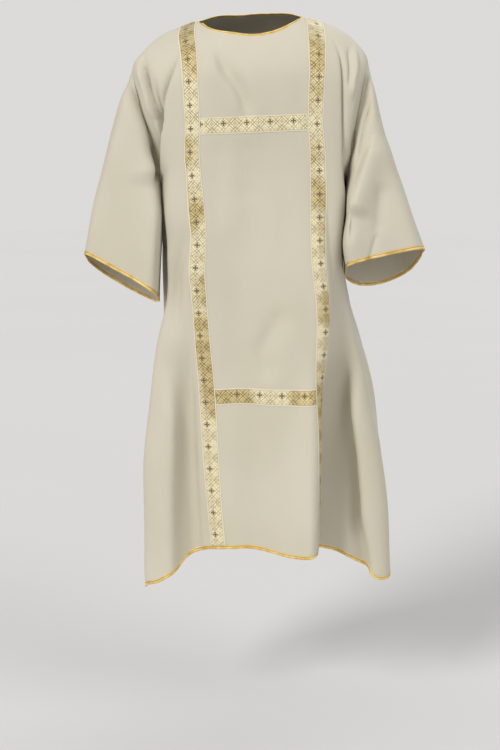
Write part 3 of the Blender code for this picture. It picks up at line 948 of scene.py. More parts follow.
def closed_wall(name: str, inner: Surface, outer: Surface, closed: bool) -> bpy.types.Object:
    """Make one closed thin solid between two grids.

    Args:
        name: The piece's name.
        inner: The side towards the wearer.
        outer: The side that shows.
        closed: Whether the rows are rings.

    Returns:
        The piece.
    """
    rows, columns = inner.points.shape[:2]
    wide = columns + 1 if closed else columns
    count = rows * columns
    vertex = np.arange(rows)[:, None] * columns + (np.arange(wide) % columns)[None, :]
    lay_of = np.arange(rows * wide).reshape(rows, wide)

    def quads(grid: Points) -> Points:
        """Corners of every quad of a grid of indices."""
        corners = (grid[:-1, :-1], grid[:-1, 1:], grid[1:, 1:], grid[1:, :-1])
        return np.stack(corners, axis=-1).reshape(-1, 4)

    def rim(line: Points, between: int) -> Points:
        """Corners of the quads from a line of indices to the line so many further on."""
        return np.stack([line[:-1], line[1:], line[1:] + between, line[:-1] + between], axis=-1)

    faces = [quads(vertex)[:, ::-1], quads(vertex) + count]
    lays = [quads(lay_of)[:, ::-1], quads(lay_of)]
    edges = [(vertex[0], lay_of[0], False), (vertex[-1], lay_of[-1], True)]
    if not closed:
        edges += [(vertex[:, 0], lay_of[:, 0], True), (vertex[:, -1], lay_of[:, -1], False)]
    for line, lay_line, turned in edges:
        step = -1 if turned else 1
        faces.append(rim(line, count)[:, ::step])
        lays.append(rim(lay_line, 0)[:, ::step])
    faces_all = np.concatenate(faces)
    lays_all = np.concatenate(lays)
    points = np.concatenate([inner.points.reshape(-1, 3), outer.points.reshape(-1, 3)])
    through = (outer.points - inner.points).reshape(-1, 3)[faces[1][:, 0] - count]
    if np.sum(quad_normals(points[faces[1]]) * through) < 0.0:
        faces_all = faces_all[:, ::-1]
        lays_all = lays_all[:, ::-1]
    layouts = {"Lay": outer.lay, "Seam": outer.seam}
    layouts = {layer: grid.reshape(-1, 2)[lays_all.ravel()] for layer, grid in layouts.items()}
    piece = quad_piece(name, points, faces_all, layouts)
    piece.data.set_sharp_from_angle(angle=SHARP_EDGE)
    return piece


# ---------- shader trees


@dataclass
class Tree:
    """A shader tree in the making, with short calls for the nodes that the finishes use."""

    nodes: bpy.types.Nodes
    links: bpy.types.NodeLinks

    def plug(self, socket: Socket, value: object) -> None:
        """Fill a node's input.

        Args:
            socket: The input.
            value: A socket to link into it, a plain value, or None to leave it.
        """
        if isinstance(value, Socket):
            self.links.new(value, socket)
        elif value is not None:
            socket.default_value = value

    def maths(self, operation: str, *values: object, clamp: bool = False) -> Socket:
        """Add a Math node.

        Args:
            operation: Its operation.
            values: Its inputs, sockets or numbers.
            clamp: Whether the result is kept from 0 to 1.

        Returns:
            Its output.
        """
        node = self.nodes.new("ShaderNodeMath")
        node.operation = operation
        node.use_clamp = clamp
        for socket, value in zip(node.inputs, values):
            self.plug(socket, value)
        return node.outputs[0]

    def times(self, first: object, second: object) -> Socket:
        """Multiply two values."""
        return self.maths("MULTIPLY", first, second)

    def times_plus(self, first: object, second: object, third: object, clamp: bool = False) -> Socket:
        """Multiply the first two values and add the third."""
        return self.maths("MULTIPLY_ADD", first, second, third, clamp=clamp)

    def less(self, first: object, second: object, clamp: bool = False) -> Socket:
        """Take the second value from the first."""
        return self.maths("SUBTRACT", first, second, clamp=clamp)

    def apart(self, first: object, second: object) -> Socket:
        """Say how far apart two values are."""
        return self.maths("ABSOLUTE", self.less(first, second))

    def fade(self, value: object, low: float, high: float) -> Socket:
        """Fall smoothly from 1 at low to 0 at high."""
        return self.step(value, low, high, 1.0, 0.0)

    def step(
        self, value: object, low: float, high: float, start: float = 0.0, end: float = 1.0
    ) -> Socket:
        """Add a smooth Map Range node.

        Args:
            value: What it reads.
            low: Where the step begins.
            high: Where it ends.
            start: The result up to low.
            end: The result from high on.

        Returns:
            Its output.
        """
        node = self.nodes.new("ShaderNodeMapRange")
        node.interpolation_type = "SMOOTHSTEP"
        for socket, given in zip(node.inputs, (value, low, high, start, end)):
            self.plug(socket, given)
        return node.outputs[0]

    def joined(self, x: object, y: object, z: object = 0.0) -> Socket:
        """Put three values together.

        Args:
            x: The first of them.
            y: The second.
            z: The third.

        Returns:
            The vector.
        """
        node = self.nodes.new("ShaderNodeCombineXYZ")
        for socket, value in zip(node.inputs, (x, y, z)):
            self.plug(socket, value)
        return node.outputs[0]

    def noise(self, vector: object, scale: object, detail: float, roughness: float = 0.5) -> Socket:
        """Add a Noise Texture node.

        Args:
            vector: Where it is read.
            scale: How many bumps there are to a unit.
            detail: How many finer layers it has.
            roughness: How strong they are.

        Returns:
            Its value.
        """
        node = self.nodes.new("ShaderNodeTexNoise")
        self.plug(node.inputs["Vector"], vector)
        self.plug(node.inputs["Scale"], scale)
        self.plug(node.inputs["Detail"], detail)
        self.plug(node.inputs["Roughness"], roughness)
        return node.outputs[0]

    def blend(self, factor: object, first: object, second: object) -> Socket:
        """Mix two colours.

        Args:
            factor: The share of the second.
            first: A socket or an RGB colour.
            second: Another.

        Returns:
            The mixed colour.
        """
        node = self.nodes.new("ShaderNodeMix")
        node.data_type = "RGBA"
        self.plug(node.inputs[0], factor)
        for socket, value in ((node.inputs[6], first), (node.inputs[7], second)):
            self.plug(socket, (*value, 1.0) if isinstance(value, tuple) else value)
        return node.outputs[2]

    def place(self, group: bpy.types.NodeTree, **values: object) -> Sockets:
        """Place a node group and fill its inputs.

        Args:
            group: The group.
            values: Its inputs by name, with underscores for spaces.

        Returns:
            Its outputs by name.
        """
        node = self.nodes.new("ShaderNodeGroup")
        node.node_tree = group
        for name, value in values.items():
            self.plug(node.inputs[name.replace("_", " ")], value)
        return {output.name: output for output in node.outputs}


@dataclass
class Effect:
    """A shader node group that several finishes share. Subclasses say what it holds."""

    name: str = "effect"
    inputs: tuple[tuple[str, str, float], ...] = ()
    outputs: tuple[str, ...] = ()

    def fill(self, tree: Tree, given: Sockets) -> Sockets:
        """Build the effect's nodes.

        Args:
            tree: The group's tree.
            given: Its inputs by name.

        Returns:
            The sockets to put out, by name.
        """
        raise NotImplementedError

    def group(self) -> bpy.types.NodeTree:
        """Make the group once, and hand out the same one after that."""
        made = bpy.data.node_groups.get(self.name)
        if made:
            return made
        made = bpy.data.node_groups.new(self.name, "ShaderNodeTree")
        for name, kind, value in self.inputs:
            socket = made.interface.new_socket(name=name, in_out="INPUT", socket_type=kind)
            if kind == "NodeSocketFloat":
                socket.default_value = value
        for name in self.outputs:
            made.interface.new_socket(name=name, in_out="OUTPUT", socket_type="NodeSocketFloat")
        tree = Tree(made.nodes, made.links)
        start = made.nodes.new("NodeGroupInput")
        end = made.nodes.new("NodeGroupOutput")
        given = {name: start.outputs[name] for name, _, _ in self.inputs}
        for name, socket in self.fill(tree, given).items():
            made.links.new(socket, end.inputs[name])
        return made


FLOAT, VECTOR = "NodeSocketFloat", "NodeSocketVector"


@dataclass
class Weave(Effect):
    """Threads crossing one over one, each a little thicker or thinner along its length."""

    name: str = "Weave"
    inputs: tuple = (
        ("Across", FLOAT, 0.0), ("Along", FLOAT, 0.0), ("Pitch", FLOAT, 0.0005), ("Slub", FLOAT, 0.5),
    )
    outputs: tuple = ("Height", "Streak")

    def fill(self, tree: Tree, given: Sockets) -> Sockets:
        """Cross two sets of rounded threads and streak them with slubs.

        Args:
            tree: The group's tree.
            given: Its inputs by name.

        Returns:
            The thread height and the slub streaks.
        """
        u = tree.maths("DIVIDE", given["Across"], given["Pitch"])
        v = tree.maths("DIVIDE", given["Along"], given["Pitch"])
        parity = tree.maths("ADD", tree.maths("FLOOR", u), tree.maths("FLOOR", v))
        parity = tree.maths("ABSOLUTE", tree.maths("MODULO", parity, 2.0))
        warp, weft = (
            tree.maths("SINE", tree.times(tree.maths("FRACT", turn), math.pi)) for turn in (u, v)
        )
        over = tree.times(warp, parity)
        under = tree.times(weft, tree.less(1.0, parity))
        threads = tree.maths("ADD", over, under)
        long_streak = tree.joined(tree.times(u, 0.30), tree.times(v, 0.006))
        cross_streak = tree.joined(tree.times(u, 0.006), tree.times(v, 0.22), 7.0)
        streaks = [tree.noise(place, 1.0, 2.0) for place in (long_streak, cross_streak)]
        streak = tree.times(tree.maths("ADD", *streaks), 0.5)
        raised = tree.times_plus(tree.less(streak, 0.5), given["Slub"], threads)
        return {"Height": raised, "Streak": streak}


@dataclass
class Mottle(Effect):
    """Soft clouds in the colour, broad and fine together."""

    name: str = "Mottle"
    inputs: tuple = (("Place", VECTOR, 0.0), ("Broad", FLOAT, 5.0), ("Fine", FLOAT, 40.0))
    outputs: tuple = ("Cloud", "Grain")

    def fill(self, tree: Tree, given: Sockets) -> Sockets:
        """Lay a broad noise and a fine one.

        Args:
            tree: The group's tree.
            given: Its inputs by name.

        Returns:
            The broad clouds and the fine grain.
        """
        cloud = tree.noise(given["Place"], given["Broad"], 2.0, 0.45)
        grain = tree.noise(given["Place"], given["Fine"], 3.0, 0.6)
        return {"Cloud": tree.step(cloud, 0.3, 0.7), "Grain": grain}


@dataclass
class Seam(Effect):
    """A pressed seam: a narrow groove, the soft ridge of its allowance, and puckers along it."""

    name: str = "Seam"
    inputs: tuple = (("Distance", FLOAT, 1.0), ("Along", FLOAT, 0.0))
    outputs: tuple = ("Groove", "Ridge", "Pucker")

    def fill(self, tree: Tree, given: Sockets) -> Sockets:
        """Shape the groove and the allowance by distance, and break them up along the seam.

        Args:
            tree: The group's tree.
            given: Its inputs by name.

        Returns:
            The groove, the allowance's ridge, and the puckers.
        """
        distance = given["Distance"]
        groove = tree.fade(distance, 0.0004, 0.0022)
        ridge = tree.fade(distance, 0.006, 0.014)
        waves = tree.noise(tree.joined(tree.times(given["Along"], 90.0), 0.0), 1.0, 1.0)
        pucker = tree.times(waves, tree.fade(distance, 0.0, 0.020))
        return {"Groove": groove, "Ridge": ridge, "Pucker": pucker}


@dataclass
class Stitches(Effect):
    """A line of short stitches at a set distance from an edge."""

    name: str = "Stitches"
    inputs: tuple = (
        ("Distance", FLOAT, 1.0), ("Along", FLOAT, 0.0), ("Inset", FLOAT, 0.0015),
        ("Length", FLOAT, 0.0026),
    )
    outputs: tuple = ("Thread", "Dimple")

    def fill(self, tree: Tree, given: Sockets) -> Sockets:
        """Mark a thin line, broken where each stitch dives into the cloth.

        Args:
            tree: The group's tree.
            given: Its inputs by name.

        Returns:
            The thread's mask and the dimple that it pulls in.
        """
        off = tree.apart(given["Distance"], given["Inset"])
        line = tree.fade(off, 0.00018, 0.00042)
        turn = tree.maths("FRACT", tree.maths("DIVIDE", given["Along"], given["Length"]))
        dash = tree.fade(tree.apart(turn, 0.5), 0.34, 0.42)
        dimple = tree.fade(off, 0.0004, 0.0013)
        return {"Thread": tree.times(line, dash), "Dimple": dimple}


@dataclass
class Rub(Effect):
    """Where an edge has been handled: a thin, broken band along it."""

    name: str = "Rub"
    inputs: tuple = (("Distance", FLOAT, 1.0), ("Place", VECTOR, 0.0), ("Width", FLOAT, 0.004))
    outputs: tuple = ("Worn",)

    def fill(self, tree: Tree, given: Sockets) -> Sockets:
        """Fade out from the edge, and break it up with noise.

        Args:
            tree: The group's tree.
            given: Its inputs by name.

        Returns:
            The worn share.
        """
        away = tree.maths("DIVIDE", given["Distance"], given["Width"])
        share = tree.less(1.0, away, clamp=True)
        broken = tree.step(tree.noise(given["Place"], 130.0, 3.0, 0.6), 0.42, 0.62)
        return {"Worn": tree.times(share, broken)}


# ---------- finishes


@dataclass(frozen=True)
class Finish:
    """A material in the making. Subclasses say how its colour, gloss and relief are made."""

    name: str = "finish"

    def material(self) -> bpy.types.Material:
        """Make the material once, and hand out the same one after that."""
        made = bpy.data.materials.get(self.name)
        if made:
            return made
        made = bpy.data.materials.new(self.name)
        made.use_nodes = True
        tree = Tree(made.node_tree.nodes, made.node_tree.links)
        self.dress(tree, made.node_tree.nodes["Principled BSDF"])
        return made

    def dress(self, tree: Tree, shader: bpy.types.Node) -> None:
        """Build the material's nodes.

        Args:
            tree: The material's tree.
            shader: Its Principled BSDF.
        """
        raise NotImplementedError

    def relief(self, tree: Tree, shader: bpy.types.Node, height: Socket) -> None:
        """Feed a height to the shader as a bump.

        Args:
            tree: The material's tree.
            shader: Its Principled BSDF.
            height: The height in millimetres.
        """
        bump = tree.nodes.new("ShaderNodeBump")
        bump.inputs["Strength"].default_value = 1.0
        bump.inputs["Distance"].default_value = MILLIMETRE
        tree.links.new(height, bump.inputs["Height"])
        tree.links.new(bump.outputs[0], shader.inputs["Normal"])

    def layout(self, tree: Tree, layer: str) -> tuple[Socket, Socket]:
        """Read one of the piece's two layouts.

        Args:
            tree: The material's tree.
            layer: The layout's name.

        Returns:
            Its two distances, in metres.
        """
        node = tree.nodes.new("ShaderNodeUVMap")
        node.uv_map = layer
        parts = tree.nodes.new("ShaderNodeSeparateXYZ")
        tree.links.new(node.outputs[0], parts.inputs[0])
        return parts.outputs[0], parts.outputs[1]

    def place(self, tree: Tree) -> Socket:
        """Read the place on the piece itself, in metres."""
        return tree.nodes.new("ShaderNodeTexCoord").outputs["Object"]


@dataclass(frozen=True)
class GarmentCloth(Finish):
    """A fine pale cloth of plain weave, with a soft bloom where it turns away."""

    name: str = "garment_cloth"
    pale: Colour = (0.585, 0.545, 0.445)
    deep: Colour = (0.520, 0.480, 0.370)
    worn: Colour = (0.640, 0.600, 0.500)
    shaded: Colour = (0.33, 0.29, 0.20)
    bloom: Colour = (1.0, 0.97, 0.90)
    pitch: float = 0.00055

    def dress(self, tree: Tree, shader: bpy.types.Node) -> None:
        """Build the cloth's nodes.

        Args:
            tree: The material's tree.
            shader: Its Principled BSDF.
        """
        across, along = self.layout(tree, "Lay")
        distance, seam_along = self.layout(tree, "Seam")
        place = self.place(tree)
        weave = tree.place(Weave().group(), Across=across, Along=along, Pitch=self.pitch, Slub=1.2)
        mottle = tree.place(Mottle().group(), Place=place, Broad=4.5, Fine=55.0)
        seam = tree.place(Seam().group(), Distance=distance, Along=seam_along)
        rub = tree.place(Rub().group(), Distance=distance, Place=place, Width=0.005)
        streak = tree.times(weave["Streak"], 0.45)
        cloud = tree.times_plus(mottle["Cloud"], 0.55, streak)
        colour = tree.blend(cloud, self.deep, self.pale)
        colour = tree.blend(tree.times(rub["Worn"], 0.35), colour, self.worn)
        colour = tree.blend(tree.times(seam["Groove"], 0.45), colour, self.shaded)
        tree.links.new(colour, shader.inputs["Base Color"])
        rough = tree.times_plus(mottle["Grain"], 0.12, 0.72)
        tree.links.new(rough, shader.inputs["Roughness"])
        for socket, value in (
            ("Specular IOR Level", 0.32), ("Sheen Weight", 0.20), ("Sheen Roughness", 0.45),
            ("Sheen Tint", (*self.bloom, 1.0)),
        ):
            shader.inputs[socket].default_value = value
        fine = tree.times(weave["Height"], 0.10)
        soft = tree.times_plus(mottle["Grain"], 0.25, fine)
        sewn = tree.less(tree.times(seam["Ridge"], 0.35), tree.times(seam["Groove"], 0.9))
        puckered = tree.times_plus(seam["Pucker"], 0.6, sewn)
        self.relief(tree, shader, tree.maths("ADD", soft, puckered))


@dataclass(frozen=True)
class Motif:
    """A small figure woven into the braid: its size, half its line, its strength and its row."""

    reach: float
    thick: float
    share: float
    row: float = 0.0


@dataclass(frozen=True)
class GalloonBraid(Finish):
    """Gold braid woven with a lattice of double lines, small crosses and arches, in a pale edge, with
    broad patches of painted sheen.
    """

    name: str = "galloon_braid"
    ground: Colour = (0.660, 0.520, 0.235)
    # pale gold of the pattern's paler blocks, and of the painted sheen patches
    bright: Colour = (0.880, 0.800, 0.540)
    line: Colour = (0.130, 0.085, 0.022)
    edge: Colour = (0.740, 0.685, 0.540)
    worn: Colour = (0.86, 0.82, 0.72)
    thread: Colour = (0.62, 0.50, 0.26)
    half_width: float = 0.017
    repeat: float = 0.0466
    row_offset: float = -0.0037
    line_apart: float = 0.145
    line_inside: float = 0.034
    line_outside: float = 0.056
    line_share: float = 0.88
    arm_flare: float = 0.16
    softness: float = 0.0003
    bold: Motif = Motif(0.0054, 0.0013, 0.92)
    light: Motif = Motif(0.0042, 0.0009, 0.60)
    arch: Motif = Motif(0.0086, 0.0006, 0.60, 0.0130)
    inner_arch: Motif = Motif(0.0058, 0.0004, 0.40, 0.0130)
    leaf: Motif = Motif(0.0022, 0.0006, 0.50, 0.0085)
    upper_leaf: Motif = Motif(0.0016, 0.0005, 0.50, -0.0130)

    def lattice(self, tree: Tree, up: Socket, along: Socket) -> Socket:
        """Draw double lines that cross on the slant.

        Args:
            tree: The material's tree.
            up: Metres across from the row of crosses.
            along: Metres along the braid.

        Returns:
            The lines' mask.
        """
        lines = []
        for sign in (1.0, -1.0):
            slant = tree.times_plus(up, sign, along)
            turn = tree.maths("FRACT", tree.maths("DIVIDE", slant, self.repeat / 2))
            off = tree.apart(tree.apart(turn, 0.5), self.line_apart)
            line = tree.step(off, self.line_inside, self.line_outside, self.line_share, 0.0)
            lines.append(line)
        return tree.maths("MAXIMUM", *lines)

    def ring(self, tree: Tree, x: Socket, y: Socket, motif: Motif) -> Socket:
        """Draw a ring round the origin of x and y.

        Args:
            tree: The material's tree.
            x: Metres one way.
            y: Metres the other way.
            motif: Its size.

        Returns:
            The ring's mask.
        """
        length = tree.maths("SQRT", tree.times_plus(x, x, tree.times(y, y)))
        return tree.fade(tree.apart(length, motif.reach), motif.thick * 0.6, motif.thick * 1.3)

    def cross(self, tree: Tree, x: Socket, y: Socket, motif: Motif) -> Socket:
        """Draw a small cross whose arms widen towards their ends.

        Args:
            tree: The material's tree.
            x: Metres one way from its middle.
            y: Metres the other way.
            motif: Its size.

        Returns:
            The cross's mask.
        """
        wide, tall = tree.maths("ABSOLUTE", x), tree.maths("ABSOLUTE", y)
        arms = []
        for one, other in ((wide, tall), (tall, wide)):
            flared = tree.times_plus(other, self.arm_flare, motif.thick)
            inside = tree.fade(tree.less(one, flared), -0.0002, self.softness)
            ended = tree.fade(other, motif.reach - self.softness, motif.reach + self.softness)
            arms.append(tree.times(inside, ended))
        return tree.maths("MAXIMUM", *arms)

    def centred(self, tree: Tree, along: Socket, period: float, shift: float) -> Socket:
        """Measure from the nearest repeat of a motif.

        Args:
            tree: The material's tree.
            along: Metres along the braid.
            period: The repeat's length.
            shift: The share of it by which the motif is moved on.

        Returns:
            Metres from the motif's middle.
        """
        turn = tree.maths("ADD", tree.maths("DIVIDE", along, period), 0.5 + shift)
        return tree.times(tree.less(tree.maths("FRACT", turn), 0.5), period)

    def figures(self, tree: Tree, across: Socket, along: Socket) -> Sockets:
        """Draw the whole pattern between the edges.

        Args:
            tree: The material's tree.
            across: Metres across from the braid's middle.
            along: Metres along it.

        Returns:
            The drawing, the bold crosses in it, and the paler blocks that hold them.
        """
        up = tree.less(across, self.row_offset)
        bold_along = self.centred(tree, along, self.repeat, 0.0)
        light_along = self.centred(tree, along, self.repeat, 0.5)
        leaf_along = self.centred(tree, along, self.repeat / 2, 0.5)
        bold = self.cross(tree, bold_along, up, self.bold)
        from_bold = tree.maths("ABSOLUTE", bold_along)
        kept = tree.step(tree.noise(self.place(tree), 5.0, 1.0), 0.42, 0.60, 0.35, 1.0)
        block = tree.times(tree.fade(from_bold, 0.0070, 0.0118), kept)
        bar = tree.times(tree.fade(tree.apart(from_bold, 0.0112), 0.0004, 0.0011), block)
        masks = [(bold, self.bold.share), (bar, 0.5)]
        masks.append((self.cross(tree, light_along, up, self.light), self.light.share))
        for run, motif in (
            (light_along, self.arch), (light_along, self.inner_arch),
            (leaf_along, self.leaf), (leaf_along, self.upper_leaf),
        ):
            masks.append((self.ring(tree, run, tree.less(across, motif.row), motif), motif.share))
        drawn = tree.times(self.lattice(tree, up, along), tree.times_plus(block, -0.50, 1.0))
        for mask, share in masks:
            drawn = tree.maths("MAXIMUM", drawn, tree.times(mask, share))
        return {"Drawn": drawn, "Bold": bold, "Block": block}

    def dress(self, tree: Tree, shader: bpy.types.Node) -> None:
        """Build the braid's nodes.

        Args:
            tree: The material's tree.
            shader: Its Principled BSDF.
        """
        across, along = self.layout(tree, "Lay")
        place = self.place(tree)
        pattern = self.figures(tree, across, along)
        mottle = tree.place(Mottle().group(), Place=place, Broad=7.0, Fine=220.0)
        # painted sheen: broad noise patches where the braid is painted paler, as metal thread that catches
        # the light
        painted_sheen = tree.step(mottle["Cloud"], 0.30, 0.72)
        off_edge = tree.less(self.half_width, tree.maths("ABSOLUTE", across))
        selvedge = tree.fade(off_edge, 0.0020, 0.0026)
        border = tree.fade(tree.apart(off_edge, 0.0030), 0.0002, 0.0005)
        drawn = tree.maths("MAXIMUM", pattern["Drawn"], tree.times(border, 0.7))
        drawn = tree.times(drawn, tree.less(1.0, selvedge))
        weave = tree.place(Weave().group(), Across=across, Along=along, Pitch=0.00042, Slub=0.6)
        stitch = tree.place(
            Stitches().group(), Distance=off_edge, Along=along, Inset=0.0012, Length=0.0026
        )
        rub = tree.place(Rub().group(), Distance=off_edge, Place=place, Width=0.0016)
        # paler where the pattern's blocks are (the braid's own colour) and where the painted sheen lies
        pale = tree.times_plus(pattern["Block"], 0.30, tree.times_plus(painted_sheen, 0.8, -0.20))
        fleck_block_and_sheen = tree.times_plus(mottle["Grain"], 0.5, pale, clamp=True)
        ground = tree.blend(fleck_block_and_sheen, self.ground, self.bright)
        # the drawn lines fade under the painted sheen, as if washed out by its highlight; the bold crosses
        # stay
        lines_fading_under_sheen = tree.maths("MAXIMUM", tree.times_plus(painted_sheen, -0.30, 1.0), pattern["Bold"])
        colour = tree.blend(tree.times(drawn, lines_fading_under_sheen), ground, self.line)
        colour = tree.blend(selvedge, colour, self.edge)
        colour = tree.blend(tree.times(rub["Worn"], 0.4), colour, self.worn)
        colour = tree.blend(tree.times(stitch["Thread"], 0.5), colour, self.thread)
        tree.links.new(colour, shader.inputs["Base Color"])
        bare = tree.less(1.0, tree.maths("MAXIMUM", selvedge, tree.times(drawn, 0.8)))
        tree.links.new(tree.times(bare, 0.45), shader.inputs["Metallic"])
        rough = tree.times_plus(selvedge, 0.25, 0.34)
        rough = tree.times_plus(mottle["Grain"], 0.20, rough)
        tree.links.new(rough, shader.inputs["Roughness"])
        relief = tree.times_plus(drawn, -0.22, tree.times(weave["Height"], 0.16))
        relief = tree.times_plus(stitch["Dimple"], -0.25, relief)
        relief = tree.times_plus(selvedge, 0.10, relief)
        self.relief(tree, shader, relief)


@dataclass(frozen=True)
class BindingSatin(Finish):
    """Gold satin binding, folded over the cloth's edge and sewn along its inner side, with a painted
    highlight on its fine ridge and painted shade in the groove beside it.
    """

    name: str = "binding_satin"
    gold: Colour = (0.640, 0.400, 0.085)
    # lighter gold: the tone's clouds, the painted highlight on the fine ridge, and worn places
    light: Colour = (0.860, 0.660, 0.260)
    # dark gold: painted shade in the stitched groove between the two ridges
    groove: Colour = (0.330, 0.185, 0.030)
    shown: float = 0.0085
    twill: float = 0.0011

    def dress(self, tree: Tree, shader: bpy.types.Node) -> None:
        """Build the binding's nodes.

        Args:
            tree: The material's tree.
            shader: Its Principled BSDF.
        """
        across, along = self.layout(tree, "Lay")
        place = self.place(tree)
        weave = tree.place(Weave().group(), Across=across, Along=along, Pitch=0.00038, Slub=0.5)
        mottle = tree.place(Mottle().group(), Place=place, Broad=60.0, Fine=320.0)
        stitch = tree.place(Stitches().group(), Distance=across, Along=along, Inset=0.0024, Length=0.0024)
        from_side = tree.less(self.shown, across)
        rub = tree.place(Rub().group(), Distance=from_side, Place=place, Width=0.0030)
        colour = tree.blend(mottle["Cloud"], self.gold, self.light)
        # painted highlight: the fine upper ridge is painted lighter, as if it caught the light
        upper = tree.fade(across, 0.0018, 0.0024)
        colour = tree.blend(tree.times(upper, 0.6), colour, self.light)
        # painted shade darkens the stitch's dimple, the groove between the ridges
        colour = tree.blend(tree.times(stitch["Dimple"], 0.6), colour, self.groove)
        colour = tree.blend(tree.times(rub["Worn"], 0.5), colour, self.light)
        tree.links.new(colour, shader.inputs["Base Color"])
        shader.inputs["Metallic"].default_value = 0.35
        tree.links.new(tree.times_plus(mottle["Grain"], 0.22, 0.26), shader.inputs["Roughness"])
        slant = tree.times(tree.maths("ADD", across, along), 2 * math.pi / self.twill)
        twill = tree.maths("SINE", slant)
        relief = tree.times_plus(twill, 0.03, tree.times(weave["Height"], 0.10))
        relief = tree.times_plus(stitch["Dimple"], -0.30, relief)
        self.relief(tree, shader, relief)


@dataclass(frozen=True)
class StudioFloor(Finish):
    """A plain pale floor with the faintest mottle."""

    name: str = "studio_floor"
    tone: Colour = (0.62, 0.61, 0.60)

    def dress(self, tree: Tree, shader: bpy.types.Node) -> None:
        """Build the floor's nodes.

        Args:
            tree: The material's tree.
            shader: Its Principled BSDF.
        """
        mottle = tree.place(Mottle().group(), Place=self.place(tree), Broad=0.8, Fine=9.0)
        darker = tuple(value * 0.985 for value in self.tone)
        tree.links.new(tree.blend(mottle["Cloud"], darker, self.tone), shader.inputs["Base Color"])
        shader.inputs["Roughness"].default_value = 0.9
        shader.inputs["Specular IOR Level"].default_value = 0.1


# ---------- the pieces


def settle(piece: bpy.types.Object, finish: Finish) -> None:
    """Give a piece its finish, and put it in place of the CAD node of the same name.

    Args:
        piece: The piece, named for its node with a leading word of its own.
        finish: Its finish.
    """
    piece.data.materials.append(finish.material())
    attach(piece, "root")
    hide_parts(piece.name.removeprefix("sewn_"))
    log.info("%s: %d faces, %s", piece.name, len(piece.data.polygons), finish.name)


